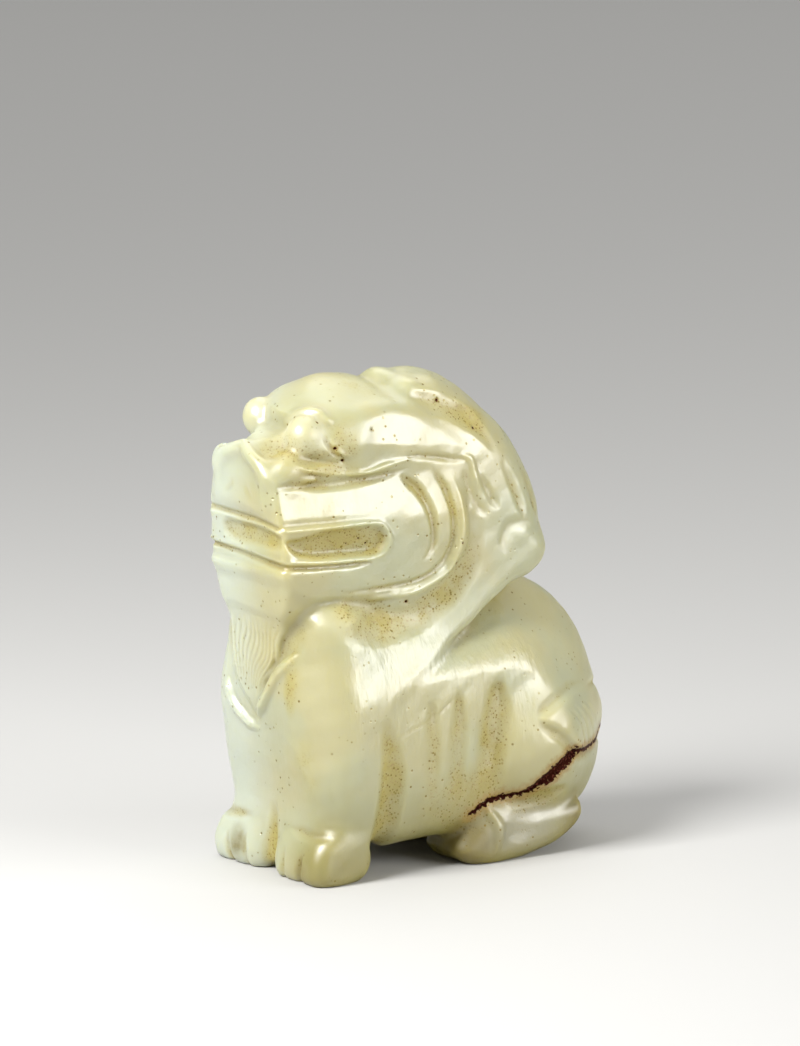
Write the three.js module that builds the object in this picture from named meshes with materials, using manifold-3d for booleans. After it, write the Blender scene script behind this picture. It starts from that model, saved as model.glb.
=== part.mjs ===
// A small seated beast carved from one pebble of pale green nephrite, about 45 mm tall.
// It has a square muzzle, round eyes, one broad horn swept back, a beard that hangs down its chest,
// fluted ribs, folded hind legs and broad paws. The whole figure is one solid.
//
// Millimetres, +Z up. The beast faces -Y and its left side is +X.
// The origin is under the middle of the figure, on the surface that it stands on.

import * as THREE from "three";
import { mergeVertices } from "three/addons/utils/BufferGeometryUtils.js";
import Module from "manifold-3d";

// Driving dimensions. Y runs back from the middle of the front paws while the figure is shaped.
// An outline is a closed path in Y and Z. A width or thickness is listed against the height Z.

const figure = {
  rearY: 33.9,
  backZ: 25.6,
  crownZ: 45.0,
  meshStep: 0.5,
  triangles: 9200,
};

// The head leans a little to its left side, and the brow and eyes a little more.
const headLean = { slope: 0.07, fromZ: 22, fullZ: 28 };
const browLean = { slope: 0.055, fromZ: 37, fullZ: 41 };

const trunk = {
  edgeRound: 2.4,
  outline: [
    [0, 5], [0, 20], [6, 23.2], [12, 24.6], [18, figure.backZ], [22.5, figure.backZ], [27, 24.2],
    [30.8, 21.2], [33.2, 16.4], [figure.rearY, 11], [33.3, 6.5], [30.9, 3.6], [26, 2.6],
    [20, 2.2], [12, 2.7], [5, 2.6],
  ],
  halfWidth: [[0, 7.2], [4, 8.6], [9, 9.3], [14, 9.4], [18, 9.1], [22, 8.4]],
  // The back falls away like a roof on both sides of a rounded ridge.
  ridgeRound: 2.45,
  roofFall: [[4, 0.7], [10, 0.78], [20, 0.98], [28, 1.0]],
  roofFrom: [8, 17],
  // The rump is rounded across.
  rumpRound: 0.085,
  rumpFrom: [16, 28],
};

const haunch = { middle: [5.2, 22.0, 10.4], radii: [5.9, 6.2, 6.6], blend: 1.6 };

const hindFoot = {
  middleX: 5.9,
  halfWidth: 3.5,
  edgeRound: 1.6,
  blend: 1.0,
  outline: [
    [13.0, 1.2], [13.8, 2.8], [16, 4.4], [18.5, 5.0], [21.5, 4.6], [24.6, 4.9], [26.6, 4.9],
    [27.2, 4.0], [27.0, 2.9], [25.6, 1.6], [22.5, 0.4], [18, -0.9], [15, -0.6],
  ],
};

const chest = {
  edgeRound: 2.6,
  // Its corners are rounder above the legs, and the left one more than the right.
  upperRound: 0.9,
  upperFromZ: [8, 14],
  leftRound: 1.4,
  leftFromX: [-1, 3],
  blend: 1.5,
  outline: [
    [-2.0, 1], [-1.5, 6.3], [-2.4, 11.5], [-3.0, 16], [-2.9, 18.5], [-2.5, 21], [-2.4, 24],
    [-2.2, 26.5], [3, 28], [8, 20], [7, 14], [5, 9], [4.2, 4], [3.4, 1], [0, 0.4],
  ],
  halfWidth: [
    [0, 8.7], [4, 8.6], [6.5, 8.3], [10, 8.8], [14, 9.1], [17, 8.8], [20, 8.4], [22, 8.3],
    [23.6, 8.0], [25, 7.0], [26, 6.4],
  ],
};

const paw = {
  middleX: 5.1,
  halfWidth: 3.9,
  edgeRound: 1.6,
  blend: 0.9,
  outline: [
    [-2.3, 0], [-2.8, 1.5], [-2.4, 3.1], [-1.4, 4.3], [1, 5], [3.2, 4.6], [3.7, 2.4],
    [3.0, 0.3], [2.4, -1.0], [0, -1.4], [-2.0, -1.0],
  ],
};

const mane = {
  edgeRound: 3.2,
  // Its edge is rounder at the nape and tighter where the neck meets the shoulder.
  napeRound: 1.8,
  napeFromZ: [25, 31],
  napeFromY: [12, 20],
  shoulderRound: -2.0,
  shoulderFromZ: [17, 20],
  shoulderToZ: [28, 31],
  shoulderFromY: [2, 8],
  // It steps in under the jaw.
  throatDepth: 0.9,
  throatFromZ: [22.5, 24.6],
  throatToY: [4, 9],
  blend: 1.1,
  outline: [
    [-1.0, 12], [-1.4, 17], [-0.8, 21], [0.2, 25], [3, 30], [5, 38], [8, 43.0],
    [12, figure.crownZ], [16.8, 43.9], [21.7, 40.1], [24.7, 35.3], [25.7, 31], [24.8, 27.6],
    [22.8, 26.0], [20, 25.1], [16, 22.4], [12, 20], [8, 16], [5, 12],
  ],
  halfWidth: [
    [12, 8.6], [17, 9.0], [20, 8.4], [22.5, 7.5], [25, 7.15], [29, 6.9], [34, 6.5], [38, 6.0],
    [43, 4.6],
  ],
};

const head = {
  edgeRound: 0.7,
  // The edge under the jaw is rounder.
  jawRound: 1.1,
  jawToZ: [26, 28.5],
  blend: 0.5,
  outline: [
    [-3.7, 27.0], [-4.3, 29.5], [-4.5, 31.5], [-4.8, 34.3], [-4.8, 36.3], [-4.2, 37.5], [0, 38],
    [6, 38.3], [12, 38.2], [14.4, 36.2], [15.2, 33], [15.0, 30], [13.3, 27.2], [10.3, 25.6],
    [6, 25.1], [1, 25.1], [-2.4, 25.6],
  ],
  muzzleHalfWidth: [
    [25, 5.6], [28.7, 6.25], [31.5, 6.1], [33, 5.9], [35.2, 5.35], [37.5, 4.7],
  ],
  cheekHalfWidth: [[25, 6.8], [28, 7.15], [33, 7.15], [35, 6.7], [37.5, 6.0]],
  cheekFrom: [-5, 6],
};

const crown = {
  middle: [0, 5.4, 39.3],
  radii: [6.2, 7.5, 5.8],
  // Below this height the dome drops straight down, to its floor.
  foreheadZ: 42.4,
  floorZ: 36.5,
  blend: 1.0,
};

const temple = {
  edgeRound: 1.2,
  blend: 0.9,
  halfWidth: 6.3,
  outline: [
    [3.2, 37.5], [3.3, 41.2], [5.0, 43.4], [8.5, 43.6], [12, 42.2], [15.5, 39.7], [17.5, 37.6],
    [15, 36.8], [10, 37.0], [6, 36.6],
  ],
  // Its side breaks along a line that falls backwards, and leans in above and below that line.
  breakZ: 40.3,
  breakY: 4,
  breakFall: 0.1,
  slant: 0.27,
  undercut: 0.05,
  taper: 0.5,
  taperFromY: [8, 16],
};

const eyeBone = { middle: [3.0, 3.2, 40.2], radii: [3.1, 3.6, 3.1], blend: 1.2 };

// The eyeball stands clear above and grows out of the cheek below.
const eyeball = {
  middle: [3.55, -0.3, 40.8],
  radii: [1.75, 1.8, 1.85],
  blend: 0.5,
  lowerBlend: 1.4,
  lowerToZ: [39.4, 41.2],
};

const brow = {
  path: [
    [1.6, -0.7, 41.5], [2.1, -0.35, 42.0], [2.7, 0.0, 42.3], [3.3, 0.35, 42.4], [4.0, 0.8, 42.3],
    [4.8, 1.2, 41.8],
  ],
  radii: [0.25, 0.42, 0.5, 0.5, 0.42, 0.2],
  blend: 0.6,
};

const nose = {
  edgeRound: 0.6,
  blend: 0.9,
  outline: [
    [-4.8, 34], [-5.0, 36.5], [-4.95, 38.6], [-4.4, 39.7], [-2.4, 40.3], [-0.5, 40.8],
    [1, 41.0], [3, 39], [2, 35], [-2, 33],
  ],
  halfWidth: [
    [33, 4.2], [36, 4.3], [37.2, 4.0], [38.05, 3.2], [38.65, 2.2], [39.2, 1.2], [40, 0.5],
    [41, 0.3],
  ],
  // The bridge widens towards the eyes.
  bridgeSpread: 0.65,
  spreadFromY: -4.6,
  spreadLength: 3.4,
  spreadFromZ: [36.8, 38.3],
};

// A rolled edge runs down each side of the nose to the nostril.
const noseEdge = {
  path: [
    [0.1, -4.6, 39.8], [1.0, -4.8, 39.2], [2.2, -4.8, 38.6], [3.2, -4.75, 38.0],
    [3.6, -4.7, 37.2], [3.5, -4.7, 36.6],
  ],
  radii: [0.35, 0.5, 0.55, 0.55, 0.45, 0.25],
  blend: 0.8,
};

// The right nostril stands further forward and lower than the left one, and less sunk in.
const nostril = { middle: [4.0, -2.7, 37.85], radii: [1.2, 1.3, 1.35], blend: 1.7 };
const rightNostril = { forward: 1.2, lower: 0.5, lessBlend: 1.1, fromX: [-3, 0] };

const nostrilWing = {
  path: [[4.4, -4.0, 36.9], [4.9, -2.4, 36.8], [5.4, -0.6, 37.0]],
  radii: [0.4, 0.42, 0.2],
  blend: 0.4,
};

const horn = {
  path: [[0, 11, 43.6], [0, 13.5, 43.4], [0, 16.5, 42.1], [0, 19.5, 39.7], [0, 21.5, 37.0]],
  radii: [1.4, 1.7, 1.9, 1.9, 1.6],
  blend: 0.8,
};

// The horn starts from a knob with a small bud on each side.
const hornKnob = { middle: [0, 10.0, 43.9], radii: [2.1, 1.7, 1.6], blend: 0.6 };
const hornBud = { middle: [2.9, 11.3, 43.8], radii: [0.8, 0.8, 0.7], blend: 0.4 };

const curl = { middle: [5.3, 21.3, 29.4], radii: [1.35, 1.4, 1.5], blend: 0.5 };

const beard = {
  edgeRound: 0.8,
  sideSlope: 0.8,
  blend: 0.6,
  outline: [
    [-4.2, 28.8], [-4.1, 27], [-3.95, 25.5], [-3.7, 24], [-3.5, 22], [-3.5, 18], [-3.3, 15.8],
    [-2.9, 14.4], [-2, 14], [-1, 17], [0, 22], [1, 28],
  ],
  halfWidth: [
    [14.3, 0.2], [15.6, 1.1], [17.3, 2.2], [18.6, 3.0], [20.3, 3.9], [22, 4.3], [24, 5.0],
    [26, 5.8], [28.5, 6.2],
  ],
  // Its point hangs towards the right leg.
  middleX: [
    [14.3, -0.6], [15.6, -1.0], [17.3, -1.5], [18.6, -1.35], [20.3, -0.9], [22, -0.6], [25, 0],
  ],
};

// Carving in the surface. A line has a path, a half width, a depth (negative stands proud) and
// the shares of its length that fade at its ends. A pool has an outline, a wall width and a depth.

const bothSides = {
  low: [-7, 0],
  high: [36, 47],
  mouth: {
    wall: 0.8,
    depth: 0.6,
    outline: [
      [-4.0, 31.8], [-2.0, 32.1], [0.2, 32.5], [2.4, 32.7], [4.9, 32.6], [5.7, 32.0], [5.7, 31.0],
      [4.9, 30.3], [3.0, 30.2], [-0.4, 30.2], [-2.0, 30.4], [-3.2, 30.8],
    ],
  },
  upperLip: {
    halfWidth: 0.4,
    depth: -0.22,
    fade: [0, 0.2],
    path: [
      [-4.2, 32.8], [-2.0, 32.8], [1.4, 32.9], [4.7, 33.0], [5.9, 32.5], [6.4, 31.3], [5.8, 30.2],
      [4.6, 29.8],
    ],
  },
  lowerLip: {
    halfWidth: 0.4,
    depth: 0.28,
    fade: [0, 0.2],
    path: [[-4.2, 29.5], [-0.9, 29.35], [2.2, 29.35], [4.6, 29.45]],
  },
  cheekCrescent: {
    halfWidth: 0.7,
    depth: 0.42,
    fade: [0.15, 0.5],
    path: [
      [8.1, 36.9], [9.1, 36.1], [9.9, 35.4], [10.8, 33.9], [11.2, 32.2], [11.1, 30.3], [9.9, 29.0],
    ],
  },
  jawGroove: {
    halfWidth: 0.5,
    depth: 0.28,
    fade: [0.1, 0.3],
    path: [
      [11.6, 37.2], [12.9, 35.3], [13.4, 33.4], [13.5, 32.0], [13.2, 30.1], [12.1, 28.6],
      [9.9, 27.4], [6.5, 26.9], [3.5, 26.8], [0.9, 26.7],
    ],
  },
  jawRidge: {
    halfWidth: 0.5,
    depth: -0.25,
    fade: [0.3, 0.05],
    path: [
      [13.6, 36.4], [14.3, 34.6], [14.5, 31.9], [14.1, 30.1], [13.5, 28.8], [12.7, 27.7],
      [11.0, 26.8], [9.3, 26.2], [7.0, 25.9], [4.2, 25.8],
    ],
  },
  cheekRidge: {
    halfWidth: 0.45,
    depth: -0.25,
    fade: [0.15, 0.3],
    path: [
      [-2.9, 38.7], [-1.3, 38.0], [0.1, 37.6], [1.5, 37.45], [3.0, 37.4], [4.9, 37.5],
      [6.3, 37.85], [8.9, 38.3], [10.5, 38.4],
    ],
  },
  cheekGroove: {
    halfWidth: 0.65,
    depth: 0.28,
    fade: [0.1, 0.3],
    path: [[-4.4, 36.5], [-2.8, 36.7], [0.6, 36.5], [3.4, 36.7], [6.8, 37.1], [9.0, 37.5]],
  },
  templeGroove: {
    halfWidth: 0.5,
    depth: 0.22,
    fade: [0.2, 0.3],
    path: [[8.6, 38.6], [11, 38.4], [13.5, 37.9], [15.6, 37.6]],
  },
  neckValley: {
    halfWidth: 1.9,
    depth: 0.4,
    fade: [0.2, 0.4],
    sharpness: 1.3,
    path: [
      [0.5, 23.0], [3.5, 22.9], [7, 23.3], [10.5, 24.3], [13.4, 26.1], [15.4, 28.5], [16.2, 31.0],
      [16, 33],
    ],
  },
  firstLock: {
    halfWidth: 0.7,
    depth: 0.18,
    fade: [0.3, 0.2],
    path: [[15.2, 36.9], [15.7, 34.9], [16.4, 33.6], [17.4, 32.4]],
  },
  secondLock: {
    halfWidth: 0.7,
    depth: 0.22,
    fade: [0.4, 0.2],
    path: [[16.9, 36.2], [17.9, 34.4], [18.9, 32.9]],
  },
  thirdLock: {
    halfWidth: 0.75,
    depth: 0.25,
    fade: [0.4, 0.2],
    path: [[19.6, 37.2], [20.9, 34.3], [21.9, 31.7]],
  },
  rearLock: {
    halfWidth: 0.6,
    depth: 0.2,
    fade: [0.4, 0.2],
    path: [[22.2, 36.4], [23.2, 33.9], [23.8, 31.6]],
  },
  curlGroove: {
    halfWidth: 0.8,
    depth: 0.16,
    fade: [0.2, 0.4],
    path: [[22.8, 31.2], [21.4, 31.5], [19.9, 31.2], [19.2, 29.9], [19.7, 28.5]],
  },
  hornGroove: {
    halfWidth: 1.2,
    depth: 0.35,
    fade: [0.2, 0.4],
    sharpness: 1.4,
    path: [[10.5, 43.6], [13.6, 42.8], [16.4, 41.3], [17.9, 39.8], [19.0, 38.1]],
  },
  frontRib: {
    halfWidth: 1.0,
    depth: 0.24,
    fade: [0.2, 0.4],
    sharpness: 1.5,
    path: [[9.5, 16.2], [9.4, 13], [9.4, 9.5], [9.6, 5.5]],
  },
  middleRib: {
    halfWidth: 1.1,
    depth: 0.32,
    fade: [0.2, 0.4],
    sharpness: 1.5,
    path: [[12.6, 16.6], [12.4, 13], [12.1, 9.5], [12.1, 5.5]],
  },
  rearRib: {
    halfWidth: 1.6,
    depth: 0.5,
    fade: [0.2, 0.4],
    sharpness: 1.5,
    path: [[17.1, 17.2], [16.5, 14], [15.8, 10], [15.6, 5.5]],
  },
  hollowBehindForeleg: {
    halfWidth: 1.7,
    depth: 0.55,
    fade: [0.4, 0.1],
    sharpness: 1.4,
    path: [[4.2, 15.0], [5.0, 12], [5.3, 8.5], [4.7, 4.5], [4.2, 1.6]],
  },
  hollowOverFoot: {
    halfWidth: 1.0,
    depth: 0.35,
    fade: [0.3, 0.3],
    sharpness: 1.4,
    path: [[17.2, 6.1], [19.5, 5.7], [22.0, 5.8], [24.6, 6.4]],
  },
  footKnuckle: {
    halfWidth: 0.9,
    depth: -0.36,
    fade: [0.5, 0.5],
    path: [[15.4, 6.0], [16.3, 4.8], [17.0, 3.4], [16.9, 1.9], [16.5, 0.6]],
  },
  hollowInFoot: {
    halfWidth: 2.0,
    depth: 0.2,
    fade: [0.3, 0.3],
    sharpness: 1.4,
    path: [[18.6, 4.6], [19.4, 3.2], [19.6, 1.5]],
  },
};

// The end of the tail is a leaf shaped tuft that lies on the left hip only.
const tuft = {
  low: [18, 4],
  high: [36, 20],
  leaf: {
    wall: 0.9,
    depth: -0.32,
    outline: [
      [21.0, 13.3], [23.2, 14.3], [26, 14.9], [29, 14.7], [32, 14], [32, 9.6], [29, 9.0],
      [26.4, 9.4], [24.8, 10.6], [22.9, 12.0],
    ],
  },
  upperEdge: {
    halfWidth: 0.7,
    depth: 0.2,
    fade: [0.1, 0.4],
    path: [[20.6, 13.5], [23.2, 14.9], [26, 15.4], [29, 15.2]],
  },
  lowerEdge: {
    halfWidth: 0.8,
    depth: 0.26,
    fade: [0.2, 0.3],
    path: [[20.6, 12.8], [22.6, 11.4], [24.6, 9.9], [26.4, 8.9], [29, 8.6]],
  },
};

// The tail in X and Z, seen from behind: it climbs the rump and turns over the left hip.
const tail = {
  low: [-12, -2],
  high: [12, 20],
  band: {
    halfWidth: 2.3,
    depth: -0.4,
    fade: [0, 0.3],
    sharpness: 1.2,
    path: [[0.0, 1.5], [0.1, 5], [0.5, 8], [2.0, 10.9], [4.6, 12.0], [7.5, 12.1]],
  },
  outerEdge: {
    halfWidth: 0.5,
    depth: 0.3,
    fade: [0, 0.2],
    path: [[-2.0, 1.5], [-1.9, 5], [-1.5, 9], [0.4, 12.6], [3.4, 14.3], [7.0, 14.7]],
  },
  innerEdge: {
    halfWidth: 0.5,
    depth: 0.3,
    fade: [0, 0.2],
    path: [[2.1, 1.5], [2.1, 5], [2.5, 7.6], [4.2, 9.2], [7.0, 9.4]],
  },
};

// The front of the figure in X and Z.
const front = {
  low: [-12, -2],
  high: [12, 47],
  mouth: {
    wall: 0.9,
    depth: 0.4,
    outline: [
      [-3.6, 31.5], [-3.0, 32.1], [-1.2, 32.3], [2.3, 32.5], [5.4, 32.3], [5.6, 31.7], [5.2, 31.2],
      [2.3, 30.9], [-1.2, 30.6], [-3.1, 30.9],
    ],
  },
  upperLip: {
    halfWidth: 0.4,
    depth: 0.25,
    fade: [0, 0],
    path: [[-6.6, 32.9], [-4.7, 33.0], [-0.9, 33.1], [2.6, 33.2], [6.4, 32.9]],
  },
  lowerLip: {
    halfWidth: 0.4,
    depth: 0.28,
    fade: [0, 0],
    path: [[-6.6, 29.4], [-5.0, 29.45], [-1.5, 29.5], [2.1, 29.5], [6.4, 29.5]],
  },
  besideBeard: {
    wall: 1.2,
    depth: 0.18,
    outline: [
      [-6.6, 24], [-5.9, 20], [-5.2, 17.0], [-4.3, 15.4], [-2.1, 14.0], [-0.7, 14.0], [0.7, 16.0],
      [2.3, 18.3], [4.6, 20.4], [5.4, 22.3], [5.0, 24],
    ],
  },
  leftFold: {
    halfWidth: 0.8,
    depth: -0.6,
    fade: [0.2, 0.2],
    path: [[5.0, 20.9], [3.9, 19.9], [2.4, 18.4], [0.8, 16.1], [-0.6, 14.3]],
  },
  rightFold: {
    halfWidth: 0.8,
    depth: -0.45,
    fade: [0.2, 0.2],
    path: [[-5.4, 17.4], [-4.5, 15.2], [-2.3, 13.7], [-0.6, 13.3]],
  },
  cutBetweenPaws: { halfWidth: 1.5, depth: 0.5, fade: [0.6, 0], path: [[0, 6.5], [0, 3], [0, -1]] },
};

// Lines on the front that repeat on the left and the right.
const pairedFront = {
  pawCrease: {
    halfWidth: 0.7,
    depth: 0.22,
    fade: [0.3, 0.3],
    path: [[3.2, 4.7], [5.4, 4.5], [8.4, 4.3]],
  },
  innerToe: {
    halfWidth: 0.55,
    depth: 0.2,
    fade: [0.4, 0],
    path: [[3.2, 3.2], [3.2, 1.8], [3.0, -1]],
  },
  outerToe: {
    halfWidth: 0.6,
    depth: 0.28,
    fade: [0.4, 0],
    path: [[6.1, 2.9], [5.9, 1.6], [5.4, -1]],
  },
};

// Each set of carving reaches over its own side of the stone and fades out past it.
const reach = {
  side: [2.5, 4.5],
  front: [-0.5, 1.5],
  tuftAcross: [4.5, 6.5],
  tuftBack: [28.5, 31],
  rear: [28.0, 30.5],
};

// On the muzzle the front carving meets the side carving along the corner, which leans forwards.
const corner = {
  frontY: -4.3,
  leanY: -0.07,
  leanFromZ: 29,
  softness: 0.5,
  fromZ: [25.5, 26.5],
  toY: [0, 3],
};

// Small helpers for smooth solids. A distance is negative inside the stone.

const { clamp, smoothstep, lerp } = THREE.MathUtils;
const tiny = 1e-9;

function join(a, b, blend) {
  const share = Math.max(blend - Math.abs(a - b), 0) / blend;
  return Math.min(a, b) - (share * share * blend) / 4;
}

function meetRound(a, b, radius) {
  const u = Math.max(a + radius, 0);
  const v = Math.max(b + radius, 0);
  return Math.min(Math.max(a + radius, b + radius), 0) + Math.hypot(u, v) - radius;
}

function ellipsoid(x, y, z, { middle, radii }) {
  const a = (x - middle[0]) / radii[0];
  const b = (y - middle[1]) / radii[1];
  const c = (z - middle[2]) / radii[2];
  const reach = Math.hypot(a, b, c);
  const steep = Math.hypot(a / radii[0], b / radii[1], c / radii[2]) + tiny;
  return (reach * (reach - 1)) / steep;
}

// A value that runs smoothly through its stations along one axis.
function profile(stations) {
  const last = stations.length - 1;
  const slopes = stations.map((station, i) => {
    const before = stations[Math.max(i - 1, 0)];
    const after = stations[Math.min(i + 1, last)];
    return (after[1] - before[1]) / (after[0] - before[0]);
  });
  return (at) => {
    const x = clamp(at, stations[0][0], stations[last][0]);
    let i = 0;
    while (i < last - 1 && x > stations[i + 1][0]) i += 1;
    const span = stations[i + 1][0] - stations[i][0];
    const t = (x - stations[i][0]) / span;
    const fall = (1 - t) * (1 - t);
    const rise = t * t;
    return (
      (1 + 2 * t) * fall * stations[i][1] +
      t * fall * span * slopes[i] +
      rise * (3 - 2 * t) * stations[i + 1][1] +
      rise * (t - 1) * span * slopes[i + 1]
    );
  };
}

const pathSteps = 5;

function smoothCurve(points, closed) {
  const corners = points.map(([u, v, w = 0]) => new THREE.Vector3(u, v, w));
  return new THREE.CatmullRomCurve3(corners, closed, "catmullrom", 0.5);
}

function smoothPath(points, closed) {
  return smoothCurve(points, closed).getPoints(points.length * pathSteps);
}

// Distance from a point to a path, with the share of the path's points passed there.
function nearestOnPath(path, u, v) {
  let best = Infinity;
  let share = 0;
  for (let i = 0; i + 1 < path.length; i += 1) {
    const du = path[i + 1].x - path[i].x;
    const dv = path[i + 1].y - path[i].y;
    const along = ((u - path[i].x) * du + (v - path[i].y) * dv) / (du * du + dv * dv);
    const t = clamp(along, 0, 1);
    const gap = Math.hypot(u - path[i].x - t * du, v - path[i].y - t * dv);
    if (gap < best) {
      best = gap;
      share = (i + t) / (path.length - 1);
    }
  }
  return { gap: best, share };
}

function isInside(path, u, v) {
  let inside = false;
  for (let i = 0; i + 1 < path.length; i += 1) {
    const a = path[i];
    const b = path[i + 1];
    const crosses = a.y > v !== b.y > v && u < ((b.x - a.x) * (v - a.y)) / (b.y - a.y) + a.x;
    if (crosses) inside = !inside;
  }
  return inside;
}

// A flat map of values with a regular step, read back by linear lookup.
function flatMap(low, high, step, valueAt) {
  const columns = Math.ceil((high[0] - low[0]) / step) + 1;
  const rows = Math.ceil((high[1] - low[1]) / step) + 1;
  const values = new Float64Array(columns * rows);
  for (let i = 0; i < columns; i += 1) {
    for (let j = 0; j < rows; j += 1) {
      values[i * rows + j] = valueAt(low[0] + i * step, low[1] + j * step);
    }
  }
  return (u, v) => {
    const a = clamp((u - low[0]) / step, 0, columns - 1 - tiny * columns);
    const b = clamp((v - low[1]) / step, 0, rows - 1 - tiny * rows);
    const i = Math.floor(a);
    const j = Math.floor(b);
    const near = lerp(values[i * rows + j], values[i * rows + j + 1], b - j);
    const far = lerp(values[(i + 1) * rows + j], values[(i + 1) * rows + j + 1], b - j);
    return lerp(near, far, a - i);
  };
}

const outlineMargin = 8;
const outlineStep = 0.25;

function outlineMap(points) {
  const path = smoothPath(points, true);
  const us = path.map((p) => p.x);
  const vs = path.map((p) => p.y);
  const low = [Math.min(...us) - outlineMargin, Math.min(...vs) - outlineMargin];
  const high = [Math.max(...us) + outlineMargin, Math.max(...vs) + outlineMargin];
  return flatMap(low, high, outlineStep, (u, v) => {
    const { gap } = nearestOnPath(path, u, v);
    return isInside(path, u, v) ? -gap : gap;
  });
}

const rodSteps = 4;

// A rounded rod through several points, each with its own radius.
function rod({ path, radii }) {
  const steps = (path.length - 1) * rodSteps;
  const middle = smoothCurve(path, false).getPoints(steps);
  const thickness = profile(radii.map((radius, i) => [i / (radii.length - 1), radius]));
  return (x, y, z) => {
    let best = Infinity;
    for (let i = 0; i < steps; i += 1) {
      const a = middle[i];
      const b = middle[i + 1];
      const ex = b.x - a.x;
      const ey = b.y - a.y;
      const ez = b.z - a.z;
      const along = (x - a.x) * ex + (y - a.y) * ey + (z - a.z) * ez;
      const t = clamp(along / (ex * ex + ey * ey + ez * ez), 0, 1);
      const gap = Math.hypot(x - a.x - t * ex, y - a.y - t * ey, z - a.z - t * ez);
      best = Math.min(best, gap - thickness((i + t) / steps));
    }
    return best;
  };
}

const fadePower = 0.7;
const narrowest = 0.35;

function faded(share, length) {
  return length > 0 ? clamp(share / length, 0, 1) ** fadePower : 1;
}

function carvedLine({ path, halfWidth, depth, fade, sharpness = 2 }) {
  const line = smoothPath(path, false);
  return (u, v) => {
    const { gap, share } = nearestOnPath(line, u, v);
    const strength = faded(share, fade[0]) * faded(1 - share, fade[1]);
    const width = halfWidth * lerp(narrowest, 1, strength);
    const hollow = clamp(1 - (gap / width) ** 2, 0, 1);
    return depth * strength * hollow ** sharpness;
  };
}

function sunkPool({ outline, wall, depth }) {
  const path = smoothPath(outline, true);
  return (u, v) => {
    const { gap } = nearestOnPath(path, u, v);
    const inward = isInside(path, u, v) ? gap : -gap;
    return depth * smoothstep(0.5 + inward / wall, 0, 1);
  };
}

const reliefStep = 0.2;

// One map of every line and pool of a set, with paired ones added on both sides of X = 0.
function carvingMap({ low, high, ...marks }, pairs = []) {
  const cuts = Object.values(marks).map((mark) => (mark.path ? carvedLine(mark) : sunkPool(mark)));
  const paired = pairs.map(carvedLine);
  return flatMap(low, high, reliefStep, (u, v) => {
    const single = cuts.reduce((sum, depthAt) => sum + depthAt(u, v), 0);
    return paired.reduce((sum, depthAt) => sum + depthAt(Math.abs(u), v), single);
  });
}

// The maps and widths that the solid is worked out from.

const trunkSide = outlineMap(trunk.outline);
const hindFootSide = outlineMap(hindFoot.outline);
const chestSide = outlineMap(chest.outline);
const pawSide = outlineMap(paw.outline);
const maneSide = outlineMap(mane.outline);
const headSide = outlineMap(head.outline);
const templeSide = outlineMap(temple.outline);
const noseSide = outlineMap(nose.outline);
const beardSide = outlineMap(beard.outline);

const trunkWidth = profile(trunk.halfWidth);
const roofFall = profile(trunk.roofFall);
const chestWidth = profile(chest.halfWidth);
const maneWidth = profile(mane.halfWidth);
const muzzleWidth = profile(head.muzzleHalfWidth);
const cheekWidth = profile(head.cheekHalfWidth);
const noseWidth = profile(nose.halfWidth);
const beardWidth = profile(beard.halfWidth);
const beardMiddle = profile(beard.middleX);

const browRod = rod(brow);
const noseEdgeRod = rod(noseEdge);
const wingRod = rod(nostrilWing);
const hornRod = rod(horn);

const sideCarving = carvingMap(bothSides);
const tuftCarving = carvingMap(tuft);
const tailCarving = carvingMap(tail);
const frontCarving = carvingMap(front, Object.values(pairedFront));

// Each mass of the figure. across is the distance out from the middle plane.

const ridgeOfFigure = 0.2;

function trunkMass(across, y, z) {
  const ridge = Math.hypot(across, trunk.ridgeRound) - trunk.ridgeRound;
  const fall = roofFall(y) * ridge * smoothstep(z, ...trunk.roofFrom);
  const wrap = trunk.rumpRound * across * across * smoothstep(y, ...trunk.rumpFrom);
  return meetRound(trunkSide(y + wrap, z + fall), across - trunkWidth(z), trunk.edgeRound);
}

function chestMass(x, across, y, z) {
  const upper = chest.upperRound + chest.leftRound * smoothstep(x, ...chest.leftFromX);
  const edge = chest.edgeRound + upper * smoothstep(z, ...chest.upperFromZ);
  return meetRound(chestSide(y, z), across - chestWidth(z), edge);
}

function maneMass(across, y, z) {
  const nape = smoothstep(z, ...mane.napeFromZ) * smoothstep(y, ...mane.napeFromY);
  const overShoulder = smoothstep(z, ...mane.shoulderFromZ) * (1 - smoothstep(z, ...mane.shoulderToZ));
  const shoulder = overShoulder * smoothstep(y, ...mane.shoulderFromY);
  const edge = mane.edgeRound + mane.napeRound * nape + mane.shoulderRound * shoulder;
  const throat = smoothstep(z, ...mane.throatFromZ) * (1 - smoothstep(y, ...mane.throatToY));
  return meetRound(maneSide(y, z), across - maneWidth(z) + mane.throatDepth * throat, edge);
}

function headMass(across, y, z) {
  const halfWidth = lerp(muzzleWidth(z), cheekWidth(z), smoothstep(y, ...head.cheekFrom));
  const edge = head.edgeRound + head.jawRound * (1 - smoothstep(z, ...head.jawToZ));
  return meetRound(headSide(y, z), across - halfWidth, edge);
}

function crownMass(across, y, z) {
  return Math.max(ellipsoid(across, y, Math.max(z, crown.foreheadZ), crown), crown.floorZ - z);
}

function templeMass(across, y, z) {
  const above = z - temple.breakZ + temple.breakFall * (y - temple.breakY);
  const fall = above > 0 ? temple.slant * above : -temple.undercut * above;
  const inward = fall + temple.taper * smoothstep(y, ...temple.taperFromY);
  return meetRound(templeSide(y, z), across - temple.halfWidth + inward, temple.edgeRound);
}

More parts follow.
